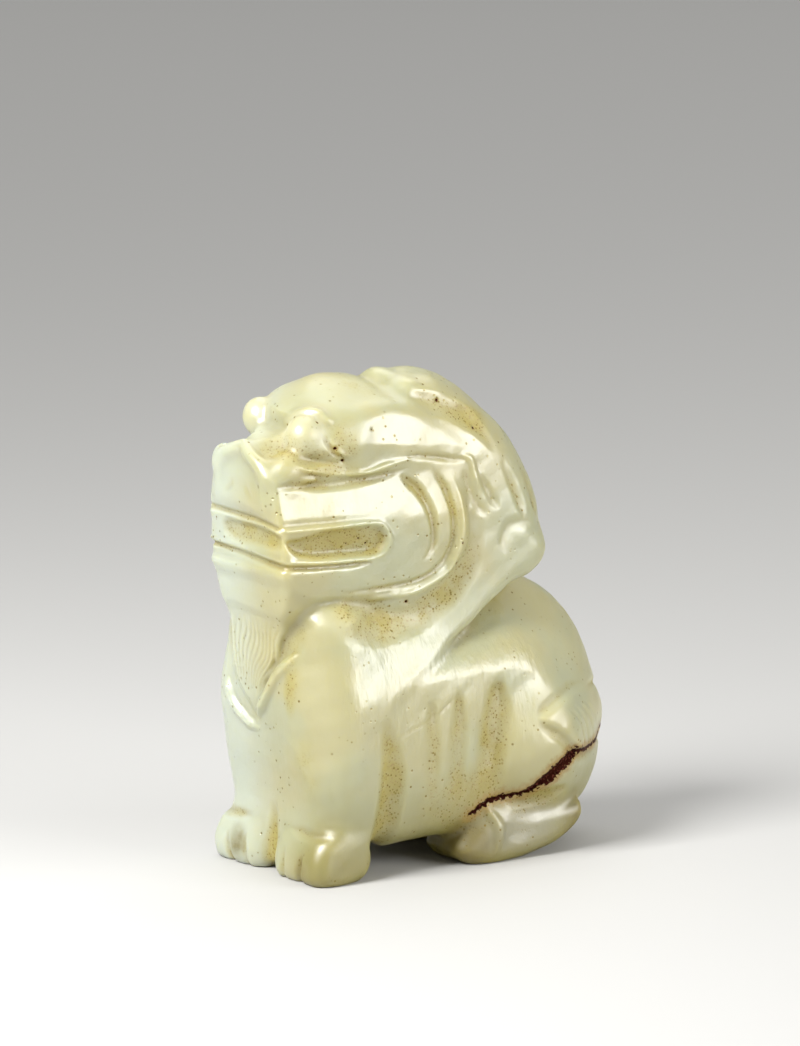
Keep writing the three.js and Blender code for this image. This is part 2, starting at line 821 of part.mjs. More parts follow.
function noseMass(across, y, z) {
  const along = clamp(y - nose.spreadFromY, 0, nose.spreadLength);
  const spread = nose.bridgeSpread * along * smoothstep(z, ...nose.spreadFromZ);
  const halfWidth = noseWidth(z) + spread;
  return meetRound(noseSide(y, z), across - halfWidth, nose.edgeRound);
}

function knobMass(across, y, z) {
  return join(ellipsoid(across, y, z, hornKnob), ellipsoid(across, y, z, hornBud), hornBud.blend);
}

function beardMass(x, y, z) {
  const outward = Math.abs(x - beardMiddle(z)) - beardWidth(z);
  return meetRound(beardSide(y, z), beard.sideSlope * outward, beard.edgeRound);
}

function pawMass(across, y, z) {
  return meetRound(pawSide(y, z), Math.abs(across - paw.middleX) - paw.halfWidth, paw.edgeRound);
}

function hindFootMass(across, y, z) {
  const outward = Math.abs(across - hindFoot.middleX) - hindFoot.halfWidth;
  return meetRound(hindFootSide(y, z), outward, hindFoot.edgeRound);
}

// How far the surface is cut in at a point, by the carving on each side of the stone.
function surfaceCarving(x, across, y, z) {
  const frontY = corner.frontY + corner.leanY * (z - corner.leanFromZ);
  const outside = across - muzzleWidth(z) - frontY + y;
  const pastCorner = smoothstep(outside, -corner.softness, corner.softness);
  const onMuzzle = smoothstep(z, ...corner.fromZ) * (1 - smoothstep(y, ...corner.toY));
  const frontShare = (1 - smoothstep(y, ...reach.front)) * (1 - onMuzzle * pastCorner);
  const sideShare = smoothstep(across, ...reach.side) * (1 - onMuzzle * (1 - pastCorner));
  const tuftShare = smoothstep(x, ...reach.tuftAcross) * (1 - smoothstep(y, ...reach.tuftBack));
  return (
    sideCarving(y, z) * sideShare +
    frontCarving(x, z) * frontShare +
    tuftCarving(y, z) * tuftShare +
    tailCarving(x, z) * smoothstep(y, ...reach.rear)
  );
}

function leaning({ slope, fromZ, fullZ }, z) {
  return slope * smoothstep(z, fromZ, fullZ);
}

function carving(x, y, z) {
  const across = Math.hypot(x, ridgeOfFigure);
  const headZ = z + x * (leaning(headLean, z) + leaning(browLean, z));
  const eyeBlend = eyeball.blend + eyeball.lowerBlend * (1 - smoothstep(headZ, ...eyeball.lowerToZ));
  const onRight = 1 - smoothstep(x, ...rightNostril.fromX);
  const nostrilY = y + rightNostril.forward * onRight;
  const nostrilZ = headZ + rightNostril.lower * onRight;
  const nostrilBlend = nostril.blend - rightNostril.lessBlend * onRight;
  let stone = trunkMass(across, y, z);
  stone = join(stone, ellipsoid(across, y, z, haunch), haunch.blend);
  stone = join(stone, hindFootMass(across, y, z), hindFoot.blend);
  stone = join(stone, chestMass(x, across, y, z), chest.blend);
  stone = join(stone, pawMass(across, y, z), paw.blend);
  stone = join(stone, maneMass(across, y, z), mane.blend);
  stone = join(stone, headMass(across, y, headZ), head.blend);
  stone = join(stone, crownMass(across, y, headZ), crown.blend);
  stone = join(stone, templeMass(across, y, headZ), temple.blend);
  stone = join(stone, ellipsoid(across, y, headZ, eyeBone), eyeBone.blend);
  stone = join(stone, browRod(across, y, z), brow.blend);
  stone = join(stone, ellipsoid(across, y, headZ, eyeball), eyeBlend);
  stone = join(stone, noseMass(across, y, headZ), nose.blend);
  stone = join(stone, noseEdgeRod(across, y, headZ), noseEdge.blend);
  stone = join(stone, ellipsoid(across, nostrilY, nostrilZ, nostril), nostrilBlend);
  stone = join(stone, wingRod(across, y, headZ), nostrilWing.blend);
  stone = join(stone, hornRod(across, y, z), horn.blend);
  stone = join(stone, knobMass(across, y, z), hornKnob.blend);
  stone = join(stone, ellipsoid(across, y, z, curl), curl.blend);
  stone = join(stone, beardMass(x, y, z), beard.blend);
  return stone + surfaceCarving(x, across, y, headZ);
}

// Skin the solid with quads: one point in each cell that the surface crosses.

const room = { low: [-13, -8, -3], high: [13, 37, 48] };

function skin(solid, step) {
  const [nx, ny, nz] = room.low.map((low, axis) => Math.ceil((room.high[axis] - low) / step) + 1);
  const strides = [ny * nz, nz, 1];
  const depth = new Float64Array(nx * ny * nz);
  for (let i = 0; i < nx; i += 1) {
    for (let j = 0; j < ny; j += 1) {
      for (let k = 0; k < nz; k += 1) {
        const at = i * strides[0] + j * strides[1] + k;
        depth[at] = solid(room.low[0] + i * step, room.low[1] + j * step, room.low[2] + k * step);
      }
    }
  }
  const corners = [0, 1, 2, 3, 4, 5, 6, 7].map((c) => [c & 1, (c >> 1) & 1, (c >> 2) & 1]);
  const edges = [];
  for (const from of corners) {
    for (let axis = 0; axis < 3; axis += 1) {
      if (from[axis] === 0) edges.push({ from, axis });
    }
  }
  const offset = (corner) => corner[0] * strides[0] + corner[1] * strides[1] + corner[2];
  const pointOfCell = new Int32Array(nx * ny * nz).fill(-1);
  const points = [];
  for (let i = 0; i < nx - 1; i += 1) {
    for (let j = 0; j < ny - 1; j += 1) {
      for (let k = 0; k < nz - 1; k += 1) {
        const at = i * strides[0] + j * strides[1] + k;
        const sum = [0, 0, 0];
        let crossings = 0;
        for (const { from, axis } of edges) {
          const a = depth[at + offset(from)];
          const b = depth[at + offset(from) + strides[axis]];
          if (a < 0 === b < 0) continue;
          const place = [...from];
          place[axis] = a / (a - b);
          sum.forEach((value, n) => (sum[n] = value + place[n]));
          crossings += 1;
        }
        if (crossings === 0) continue;
        pointOfCell[at] = points.length / 3;
        const cell = [i, j, k];
        sum.forEach((value, n) => points.push(room.low[n] + (cell[n] + value / crossings) * step));
      }
    }
  }
  const triangles = [];
  for (let i = 1; i < nx - 1; i += 1) {
    for (let j = 1; j < ny - 1; j += 1) {
      for (let k = 1; k < nz - 1; k += 1) {
        const at = i * strides[0] + j * strides[1] + k;
        for (let axis = 0; axis < 3; axis += 1) {
          const inside = depth[at] < 0;
          if (inside === depth[at + strides[axis]] < 0) continue;
          const b = strides[(axis + 1) % 3];
          const c = strides[(axis + 2) % 3];
          const ring = [at - b - c, at - c, at, at - b].map((cell) => pointOfCell[cell]);
          if (!inside) ring.reverse();
          triangles.push(ring[0], ring[1], ring[2], ring[0], ring[2], ring[3]);
        }
      }
    }
  }
  return { points: Float64Array.from(points), triangles };
}

const evenness = 0.5;

// Even the skin out: draw each point towards the middle of the points that it is joined to.
function relax(points, triangles) {
  const sums = new Float64Array(points.length);
  const counts = new Float64Array(points.length / 3);
  for (let i = 0; i < triangles.length; i += 1) {
    const next = i % 3 === 2 ? i - 2 : i + 1;
    counts[triangles[i]] += 1;
    for (let axis = 0; axis < 3; axis += 1) {
      sums[3 * triangles[i] + axis] += points[3 * triangles[next] + axis];
    }
  }
  for (let i = 0; i < points.length; i += 1) {
    points[i] = lerp(points[i], sums[i] / counts[Math.floor(i / 3)], evenness);
  }
}

const slopeStep = 0.02;
const gentlestSlope = 0.25;
const longestMove = 0.25;

// Draw each point of the skin onto the true surface, along the slope of the solid.
function settle(solid, points) {
  for (let i = 0; i < points.length; i += 3) {
    const [x, y, z] = points.subarray(i, i + 3);
    const slope = new THREE.Vector3(
      solid(x + slopeStep, y, z) - solid(x - slopeStep, y, z),
      solid(x, y + slopeStep, z) - solid(x, y - slopeStep, z),
      solid(x, y, z + slopeStep) - solid(x, y, z - slopeStep),
    ).divideScalar(2 * slopeStep);
    const move = slope.multiplyScalar(-solid(x, y, z) / Math.max(slope.lengthSq(), gentlestSlope));
    move.clampLength(0, longestMove);
    points[i] += move.x;
    points[i + 1] += move.y;
    points[i + 2] += move.z;
  }
}

const solePlane = 1e-5;
const flatBend = 1e-5;
const lengthCost = 1e-6;
const leastTurn = 0.3;
const leastFace = 1e-4;
const farthestIdeal = 1.5;

function isSole(point) {
  return Math.abs(point.z) < solePlane;
}

function normalOf(a, b, c) {
  return new THREE.Vector3().subVectors(b, a).cross(new THREE.Vector3().subVectors(c, a));
}

// Thin the skin by joining the pairs of points that change its shape the least. Points on the
// flat soles stay on them.
function thin(points, triangles, wanted) {
  const count = points.length / 3;
  const at = (i) => new THREE.Vector3(points[3 * i], points[3 * i + 1], points[3 * i + 2]);
  const place = Array.from({ length: count }, (unused, i) => at(i));
  const faces = [];
  const facesAt = Array.from({ length: count }, () => new Set());
  const errors = Array.from({ length: count }, () => new Float64Array(10));
  for (let i = 0; i < triangles.length; i += 3) {
    const face = [triangles[i], triangles[i + 1], triangles[i + 2]];
    const normal = normalOf(...face.map((v) => place[v]));
    const area = normal.length();
    normal.divideScalar(area || 1);
    const plane = [normal.x, normal.y, normal.z, -normal.dot(place[face[0]])];
    face.forEach((v) => {
      facesAt[v].add(faces.length);
      let n = 0;
      for (let p = 0; p < 4; p += 1) {
        for (let q = p; q < 4; q += 1) {
          errors[v][n] += area * plane[p] * plane[q];
          n += 1;
        }
      }
    });
    faces.push(face);
  }
  const costAt = (e, p) =>
    e[0] * p.x * p.x + 2 * e[1] * p.x * p.y + 2 * e[2] * p.x * p.z + 2 * e[3] * p.x +
    e[4] * p.y * p.y + 2 * e[5] * p.y * p.z + 2 * e[6] * p.y +
    e[7] * p.z * p.z + 2 * e[8] * p.z + e[9];
  const bestPlace = (a, b, e) => {
    const middle = new THREE.Vector3().addVectors(place[a], place[b]).multiplyScalar(0.5);
    const bend = new THREE.Matrix3().set(e[0], e[1], e[2], e[1], e[4], e[5], e[2], e[5], e[7]);
    const size = e[0] + e[4] + e[7];
    const choices = [middle, place[a].clone(), place[b].clone()];
    if (Math.abs(bend.determinant()) > flatBend * size ** 3) {
      const ideal = new THREE.Vector3(-e[3], -e[6], -e[8]).applyMatrix3(bend.invert());
      const far = farthestIdeal * place[a].distanceTo(place[b]);
      if (ideal.distanceTo(middle) < far) choices.push(ideal);
    }
    if (isSole(place[a]) || isSole(place[b])) choices.forEach((choice) => choice.setZ(0));
    const costs = choices.map((choice) => costAt(e, choice));
    const best = costs.indexOf(Math.min(...costs));
    return { to: choices[best], cost: costs[best] };
  };
  const stamp = new Int32Array(count);
  const heap = [];
  const push = (item) => {
    heap.push(item);
    let i = heap.length - 1;
    while (i > 0 && heap[(i - 1) >> 1].cost > heap[i].cost) {
      [heap[i], heap[(i - 1) >> 1]] = [heap[(i - 1) >> 1], heap[i]];
      i = (i - 1) >> 1;
    }
  };
  const pop = () => {
    const top = heap[0];
    const last = heap.pop();
    if (heap.length > 0) heap[0] = last;
    let i = 0;
    while (2 * i + 1 < heap.length) {
      let child = 2 * i + 1;
      if (child + 1 < heap.length && heap[child + 1].cost < heap[child].cost) child += 1;
      if (heap[i].cost <= heap[child].cost) break;
      [heap[i], heap[child]] = [heap[child], heap[i]];
      i = child;
    }
    return top;
  };
  const neighbours = (v) => {
    const around = new Set();
    facesAt[v].forEach((f) => faces[f].forEach((w) => w !== v && around.add(w)));
    return around;
  };
  const offer = (a, b) => {
    const e = errors[a].map((value, i) => value + errors[b][i]);
    const { to, cost } = bestPlace(a, b, e);
    const extra = lengthCost * place[a].distanceToSquared(place[b]);
    push({ a, b, e, to, cost: cost + extra, mark: stamp[a] + stamp[b] });
  };
  const turnsOver = (v, other, to) => {
    for (const f of facesAt[v]) {
      if (faces[f].includes(other)) continue;
      const before = normalOf(...faces[f].map((w) => place[w]));
      const after = normalOf(...faces[f].map((w) => (w === v ? to : place[w])));
      const turned = after.dot(before) < leastTurn * after.length() * before.length();
      if (turned || after.length() < leastFace) return true;
    }
    return false;
  };
  for (let v = 0; v < count; v += 1) {
    neighbours(v).forEach((w) => v < w && offer(v, w));
  }
  let left = faces.length;
  while (left > wanted && heap.length > 0) {
    const { a, b, e, to, mark } = pop();
    if (facesAt[a].size === 0 || facesAt[b].size === 0 || mark !== stamp[a] + stamp[b]) continue;
    const aroundB = neighbours(b);
    const shared = [...neighbours(a)].filter((v) => aroundB.has(v));
    if (shared.length !== 2 || turnsOver(a, b, to) || turnsOver(b, a, to)) continue;
    place[a].copy(to);
    errors[a] = e;
    [...facesAt[b]].forEach((f) => {
      if (faces[f].includes(a)) {
        faces[f].forEach((v) => facesAt[v].delete(f));
        faces[f] = null;
        left -= 1;
      } else {
        faces[f] = faces[f].map((v) => (v === b ? a : v));
        facesAt[a].add(f);
      }
    });
    facesAt[b].clear();
    stamp[a] += 1 + stamp[b];
    neighbours(a).forEach((v) => offer(a, v));
  }
  return { place, faces: faces.filter((face) => face !== null) };
}

// Cut the soles flat and thin the skin of what stands above the ground.

const ground = { width: 60, length: 80, thickness: 10, middleY: 15 };

const wasm = await Module();
wasm.setup();

function solidFrom(vertices, indices) {
  return new wasm.Manifold(
    new wasm.Mesh({
      numProp: 3,
      vertProperties: Float32Array.from(vertices),
      triVerts: Uint32Array.from(indices),
    }),
  );
}

function slabBelowGround() {
  const slab = new THREE.BoxGeometry(ground.width, ground.length, ground.thickness);
  slab.translate(0, ground.middleY, -ground.thickness / 2);
  slab.deleteAttribute("normal");
  slab.deleteAttribute("uv");
  const closed = mergeVertices(slab);
  return solidFrom(closed.attributes.position.array, closed.index.array);
}

const settlePasses = 3;
const rough = skin(carving, figure.meshStep);
for (let pass = 0; pass < settlePasses; pass += 1) {
  relax(rough.points, rough.triangles);
  settle(carving, rough.points);
}
const standing = solidFrom(rough.points, rough.triangles).subtract(slabBelowGround()).getMesh();
const { place, faces } = thin(standing.vertProperties, standing.triVerts, figure.triangles);
const numbers = new Map();
faces.flat().forEach((v) => numbers.has(v) || numbers.set(v, numbers.size));
const corners = [...numbers.keys()].flatMap((v) => place[v].toArray());

const geometry = new THREE.BufferGeometry();
geometry.setAttribute("position", new THREE.Float32BufferAttribute(corners, 3));
geometry.setIndex(faces.flat().map((v) => numbers.get(v)));
geometry.computeBoundingBox();
const middle = geometry.boundingBox.getCenter(new THREE.Vector3());
geometry.translate(-middle.x, -middle.y, 0);
geometry.computeVertexNormals();

const jade = new THREE.MeshStandardMaterial({ color: 0xd8dcae, roughness: 0.22, metalness: 0 });
jade.name = "jade";
const body = new THREE.Mesh(geometry, jade);
body.name = "carving";

const beast = new THREE.Group();
beast.name = "jade_beast";
beast.add(body);

export default beast;
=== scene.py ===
import math

import bpy
import numpy as np
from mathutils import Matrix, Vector


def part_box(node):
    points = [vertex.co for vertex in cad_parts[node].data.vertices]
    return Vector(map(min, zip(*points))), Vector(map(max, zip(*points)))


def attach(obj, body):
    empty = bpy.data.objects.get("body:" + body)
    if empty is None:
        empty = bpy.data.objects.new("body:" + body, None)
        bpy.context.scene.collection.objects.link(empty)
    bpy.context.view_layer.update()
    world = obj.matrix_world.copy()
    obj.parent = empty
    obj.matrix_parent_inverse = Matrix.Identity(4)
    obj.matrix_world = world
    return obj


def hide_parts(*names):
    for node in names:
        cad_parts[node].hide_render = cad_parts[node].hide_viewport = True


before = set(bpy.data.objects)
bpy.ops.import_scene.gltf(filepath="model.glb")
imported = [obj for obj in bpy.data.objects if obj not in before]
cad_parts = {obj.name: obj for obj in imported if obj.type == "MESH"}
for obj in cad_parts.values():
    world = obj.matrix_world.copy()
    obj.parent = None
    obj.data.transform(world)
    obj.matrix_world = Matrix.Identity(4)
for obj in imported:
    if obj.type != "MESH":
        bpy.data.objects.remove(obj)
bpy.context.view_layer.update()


# The view. The little beast stands on a table top and is seen from its front left, a little above
# its eyes, by a camera with a long lens half a metre away. The carver's measures are millimetres:
# Y runs back from the middle of the front paws, and the muzzle stands 5.41 mm in front of them.
MM = 0.001
muzzle_reach = 5.41
paws_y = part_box("carving")[0].y / MM + muzzle_reach


def on_table(x, y, z):
    """A place in the carver's millimetres, in the metres of the frame."""
    return Vector((x * MM, (y + paws_y) * MM, z * MM))


view_turn = math.radians(55)
view_rise = math.radians(9.35)
view_distance = 480
look_at = on_table(0, 12.5, 30.8)
towards_camera = Vector((
    math.sin(view_turn) * math.cos(view_rise),
    -math.cos(view_turn) * math.cos(view_rise),
    math.sin(view_rise),
))
camera_data = bpy.data.cameras.new("camera")
camera_data.lens = 180
camera_data.sensor_width = 36
camera_data.clip_start = 0.02
camera_data.clip_end = 20
camera = bpy.data.objects.new("camera", camera_data)
camera.location = look_at + towards_camera * view_distance * MM
camera.rotation_euler = towards_camera.to_track_quat("Z", "Y").to_euler()
bpy.context.scene.collection.objects.link(camera)
bpy.context.scene.camera = camera


# The table top. A wide sheet of pale matte board, laid flat. It runs so far back behind the beast
# that it fades into the pale room.
board_reach = 4.0
board_mesh = bpy.data.meshes.new("table_board")
board_mesh.from_pydata(
    [(-board_reach, -board_reach, 0), (board_reach, -board_reach, 0),
     (board_reach, board_reach, 0), (-board_reach, board_reach, 0)],
    [],
    [(0, 1, 2, 3)],
)
board = bpy.data.objects.new("table_board", board_mesh)
bpy.context.scene.collection.objects.link(board)
board_paint = bpy.data.materials.new("pale_board")
board_paint.use_nodes = True
board_shader = board_paint.node_tree.nodes["Principled BSDF"]
board_shader.inputs["Base Color"].default_value = (0.5, 0.495, 0.48, 1)
board_shader.inputs["Roughness"].default_value = 0.7
board_mesh.materials.append(board_paint)


# The trunk. The body of the beast is the middle of the pebble: a long rounded block with a belly
# that clears the table, steep flanks, and a back that falls from a soft ridge like a roof.
# All the stone is shaped as depths: a depth is negative inside the stone, in millimetres.
def ease(value, start, full):
    """Rises smoothly from 0 at start to 1 at full."""
    t = np.clip((value - start) / (full - start), 0, 1)
    return t * t * (3 - 2 * t)


def join(a, b, blend):
    """Two masses that grow together with a fillet."""
    share = np.maximum(blend - np.abs(a - b), 0) / blend
    return np.minimum(a, b) - share * share * blend / 4


def meet(side, across, radius):
    """Where a side profile and a width meet along a rounded edge."""
    u = np.maximum(side + radius, 0)
    v = np.maximum(across + radius, 0)
    return np.minimum(np.maximum(side, across) + radius, 0) + np.sqrt(u * u + v * v) - radius


def smooth_path(points, closed, steps=6):
    """A curve drawn through points, as many short steps."""
    points = np.array(points, float)
    count = len(points)
    path = []
    for i in range(count if closed else count - 1):
        around = np.arange(i - 1, i + 3)
        a, b, c, d = points[around % count if closed else np.clip(around, 0, count - 1)]
        for t in np.arange(steps) / steps:
            bend = 2 * a - 5 * b + 4 * c - d + t * (3 * b - 3 * c + d - a)
            path.append(b + 0.5 * t * (c - a + t * bend))
    path.append(points[0] if closed else points[-1])
    return np.array(path)


def near_path(path, u, v):
    """Distance to a path, and how far along it, from 0 to 1."""
    lengths = np.linalg.norm(np.diff(path, axis=0), axis=1)
    passed = np.concatenate([[0], np.cumsum(lengths)])
    best = np.full(u.shape, np.inf)
    share = np.zeros(u.shape)
    for i in np.flatnonzero(lengths > 0):
        du, dv = (path[i + 1] - path[i]) / lengths[i]
        along = np.clip((u - path[i][0]) * du + (v - path[i][1]) * dv, 0, lengths[i])
        gap = np.hypot(u - path[i][0] - along * du, v - path[i][1] - along * dv)
        closer = gap < best
        best = np.where(closer, gap, best)
        share = np.where(closer, (passed[i] + along) / passed[-1], share)
    return best, share


def inside_path(path, u, v):
    """Whether places lie inside a closed path."""
    inside = np.zeros(u.shape, bool)
    for (a, b), (c, d) in zip(path[:-1], path[1:]):
        if b != d:
            inside ^= ((b > v) != (d > v)) & (u < (c - a) * (v - b) / (d - b) + a)
    return inside


def read_map(low, step, heights):
    """Reads a flat map of heights between its squares."""
    columns, rows = heights.shape
    flat = heights.astype(np.float32).ravel()
    # Just over 1, so that a place on the far edge still lies inside the last square.
    inset = 1.001

    def at(u, v):
        a = np.clip((u - low[0]) / step, 0, columns - inset)
        b = np.clip((v - low[1]) / step, 0, rows - inset)
        i = a.astype(np.int32)
        j = b.astype(np.int32)
        a = (a - i).astype(np.float32)
        b = (b - j).astype(np.float32)
        corner = i * rows + j
        near = flat[corner] * (1 - b) + flat[corner + 1] * b
        far = flat[corner + rows] * (1 - b) + flat[corner + rows + 1] * b
        return near * (1 - a) + far * a

    return at


def outline(points, margin=6, step=0.15):
    """A closed outline as a map of the distance to it."""
    path = smooth_path(points, closed=True)
    low = path.min(axis=0) - margin
    columns, rows = ((path.max(axis=0) + margin - low) / step).astype(int) + 1
    across, up = low[0] + step * np.arange(columns), low[1] + step * np.arange(rows)
    u, v = np.meshgrid(across, up, indexing="ij")
    gap = near_path(path, u, v)[0]
    return read_map(low, step, np.where(inside_path(path, u, v), -gap, gap))


def stations(*pairs):
    """A measure that runs smoothly through its values at several heights or lengths."""
    at = np.array([pair[0] for pair in pairs], float)
    values = np.array([pair[1] for pair in pairs], float)
    slopes = np.gradient(values, at)
    slopes[1:-1] = (values[2:] - values[:-2]) / (at[2:] - at[:-2])

    def measure(place):
        place = np.clip(place, at[0], at[-1])
        i = np.clip(np.searchsorted(at, place) - 1, 0, len(at) - 2)
        span = at[i + 1] - at[i]
        t = (place - at[i]) / span
        rise = t * t * (3 - 2 * t)
        bend = t * (1 - t) * span * ((1 - t) * slopes[i] - t * slopes[i + 1])
        return (values[i] * (1 - rise) + values[i + 1] * rise + bend).astype(np.float32)

    return measure


trunk_side = outline([
    (0, 5), (0, 20), (6, 23.2), (12, 24.6), (18, 25.6), (22.5, 25.6), (27, 24.2), (30.8, 21.2),
    (33.2, 16.4), (33.9, 11), (33.3, 6.5), (30.9, 3.6), (26, 2.6), (20, 2.2), (12, 2.7), (5, 2.6),
])
trunk_half_width = stations((0, 7.2), (4, 8.6), (9, 9.3), (14, 9.4), (18, 9.1), (22, 8.4))
roof_fall = stations((4, 0.7), (10, 0.78), (20, 0.98), (28, 1.0))
ridge_round = 2.45
rump_round = 0.085
flank_edge = 2.4
back_crisper_by = 1.2


def trunk(across, y, z):
    roof = roof_fall(y) * (np.hypot(across, ridge_round) - ridge_round) * ease(z, 8, 17)
    wrap = rump_round * across * across * ease(y, 16, 28)
    edge = flank_edge - back_crisper_by * ease(z, 13, 17)
    return meet(trunk_side(y + wrap, z + roof), across - trunk_half_width(z), edge)


# The haunches and hind feet. The folded hind legs are low swellings on the flanks, and each foot
# lies flat under its haunch, undercut a little so that it reads as a limb of its own.
# A fillet is how far a mass swells out where it grows from the stone joined before it.
tiny = 1e-6


def lump(across, y, z, middle, radii):
    """An egg shaped mass."""
    a, b, c = ((place - centre) / radius for place, centre, radius in zip((across, y, z), middle, radii))
    reach = np.sqrt(a * a + b * b + c * c) + tiny
    steep = np.sqrt((a / radii[0]) ** 2 + (b / radii[1]) ** 2 + (c / radii[2]) ** 2) + tiny
    return reach * (reach - 1) / steep


haunch_fillet = 1.6
hind_foot_side = outline([
    (13.0, 1.2), (13.8, 2.8), (16, 4.4), (18.5, 5.0), (21.5, 4.6), (24.6, 4.9), (26.6, 4.9), (27.2, 4.0),
    (27.0, 2.9), (25.6, 1.6), (22.5, 0.4), (18, -0.5), (15, -0.2),
])
hind_foot_middle = 5.9
hind_foot_half_width = 3.5
hind_foot_edge = 1.6
hind_foot_fillet = 1.0


def haunch(across, y, z):
    return lump(across, y, z, middle=(5.2, 22.0, 10.4), radii=(5.9, 6.2, 6.6))


def hind_foot(across, y, z):
    out = np.abs(across - hind_foot_middle) - hind_foot_half_width
    return meet(hind_foot_side(y, z), out, hind_foot_edge)


# The chest and forelegs. One broad upright block is both the chest and the two front legs, which
# stay joined down to the paws, with only a shallow valley ground between them.
chest_side = outline([
    (-2.0, 1), (-1.5, 6.3), (-2.4, 11.5), (-3.0, 16), (-2.9, 18.5), (-2.5, 21), (-2.4, 24), (-2.2, 26.5),
    (3, 28), (8, 20), (7, 14), (5, 9), (4.2, 4), (3.4, 1), (0, 0.4),
])
chest_half_width = stations(
    (0, 8.7), (4, 8.6), (6.5, 8.3), (10, 8.8), (14, 9.1), (17, 8.8), (20, 8.4), (22, 8.3), (23.6, 8.0),
    (25, 7.0), (26, 6.4),
)
chest_edge = 2.6
upper_chest_edge = 0.9
left_chest_edge = 1.4
chest_fillet = 1.5
paw_side = outline([
    (-2.3, 0), (-2.8, 1.5), (-2.4, 3.1), (-1.4, 4.3), (1, 5), (3.2, 4.6), (3.7, 2.4), (3.0, 0.3), (0, -0.6),
])
paw_middle = 5.1
paw_half_width = 3.9
paw_edge = 1.6
paw_fillet = 0.9


def chest(x, across, y, z):
    """The block is rounder above the forelegs, and rounder again at the left shoulder."""
    edge = chest_edge + (upper_chest_edge + left_chest_edge * ease(x, -1, 3)) * ease(z, 8, 14)
    return meet(chest_side(y, z), across - chest_half_width(z), edge)


def paw(across, y, z):
    return meet(paw_side(y, z), np.abs(across - paw_middle) - paw_half_width, paw_edge)


# The neck and mane. A thick neck rises from the shoulders and carries a mane that sweeps over the
# head and hangs free behind it, cut square below where it clears the back.
mane_side = outline([
    (-1.0, 12), (-1.4, 17), (-0.8, 21), (0.2, 25), (3, 30), (5, 38), (8, 43.0), (12, 45.0), (16.8, 43.9),
    (21.7, 40.1), (24.7, 35.3), (25.7, 31), (24.8, 27.6), (22.8, 26.0), (20, 25.1), (16, 22.4), (12, 20),
    (8, 16), (5, 12),
])
mane_half_width = stations(
    (12, 8.6), (17, 9.0), (20, 8.4), (22.5, 7.5), (25, 7.15), (29, 6.9), (34, 6.5), (38, 6.0), (43, 4.6),
)
mane_edge = 3.2
crisp_neck = 2.0
round_nape = 1.8
throat_hollow = 0.9
mane_fillet = 1.1


def mane(across, y, z):
    neck = ease(z, 17, 20) * ease(z, 31, 28) * ease(y, 2, 8)
    nape = ease(z, 25, 31) * ease(y, 12, 20)
    throat = throat_hollow * ease(z, 22.5, 24.6) * ease(y, 9, 4)
    edge = mane_edge - crisp_neck * neck + round_nape * nape
    return meet(mane_side(y, z), across - mane_half_width(z) + throat, edge)


# The head. A square block with flat cheeks that narrows towards the muzzle, under a domed crown
# with full temples. The head leans a little to the left, so its measures follow a leaning height.
head_side = outline([
    (-3.7, 27.0), (-4.3, 29.5), (-4.5, 31.5), (-4.8, 34.3), (-4.8, 36.3), (-4.2, 37.5), (0, 38), (6, 38.3),
    (12, 38.2), (14.4, 36.2), (15.2, 33), (15.0, 30), (13.3, 27.2), (10.3, 25.6), (6, 25.1), (1, 25.1),
    (-2.4, 25.6),
])
muzzle_half_width = stations((25, 5.6), (28.7, 6.25), (31.5, 6.1), (33, 5.9), (35.2, 5.35), (37.5, 4.7))
cheek_half_width = stations((25, 6.8), (28, 7.15), (33, 7.15), (35, 6.7), (37.5, 6.0))
jaw_edge = 0.7
chin_round = 1.1
head_fillet = 0.5
crown_fillet = 1.0
forehead_height = 42.4
crown_foot = 36.5


def head(across, y, z):
    back = ease(y, -5, 6)
    half_width = muzzle_half_width(z) * (1 - back) + cheek_half_width(z) * back
    return meet(head_side(y, z), across - half_width, jaw_edge + chin_round * ease(z, 28.5, 26))


def crown(across, y, z):
    dome = lump(across, y, np.maximum(z, forehead_height), middle=(0, 5.4, 39.3), radii=(6.2, 7.5, 5.8))
    return np.maximum(dome, crown_foot - z)


temple_side = outline([
    (3.2, 37.5), (3.3, 41.2), (5.0, 43.4), (8.5, 43.6), (12, 42.2), (15.5, 39.7), (17.5, 37.6), (15, 36.8),
    (10, 37.0), (6, 36.6),
])
temple_break = 40.3
temple_slant = 0.27
temple_undercut = 0.05
temple_half_width = 6.3
temple_taper = 0.5
temple_edge = 1.2
temple_fillet = 0.9


def temple(across, y, z):
    above_break = z - temple_break + 0.1 * (y - 4)
    fall = temple_slant * np.maximum(above_break, 0) + temple_undercut * np.maximum(-above_break, 0)
    out = across - temple_half_width + fall + temple_taper * ease(y, 8, 16)
    return meet(temple_side(y, z), out, temple_edge)


# The eyes. Each is a round ball left standing at the corner of the forehead, on a swelling of bone,
# with a thin arched brow cut over it.
rod_reach = 2.5
beyond_reach = 9


def rod(across, y, z, path, radii, steps=6):
    """A rounded rod along a curve, each place on it with its own thickness."""
    spine = smooth_path(np.column_stack([path, radii]), closed=False, steps=steps)
    places = np.stack([across, y, z], 1)
    reach = rod_reach + max(radii)
    low = spine[:, :3].min(axis=0) - reach
    high = spine[:, :3].max(axis=0) + reach
    near = ((places > low) & (places < high)).all(axis=1)
    close = places[near]
    nearest = np.full(len(close), beyond_reach, np.float32)
    for a, b in zip(spine[:-1].astype(np.float32), spine[1:].astype(np.float32)):
        run = b[:3] - a[:3]
        t = np.clip((close - a[:3]) @ run / (run @ run), 0, 1)
        gap = np.linalg.norm(close - a[:3] - t[:, None] * run, axis=1)
        nearest = np.minimum(nearest, gap - a[3] - t * (b[3] - a[3]))
    depth = np.full(across.shape, beyond_reach, np.float32)
    depth[near] = nearest
    return depth


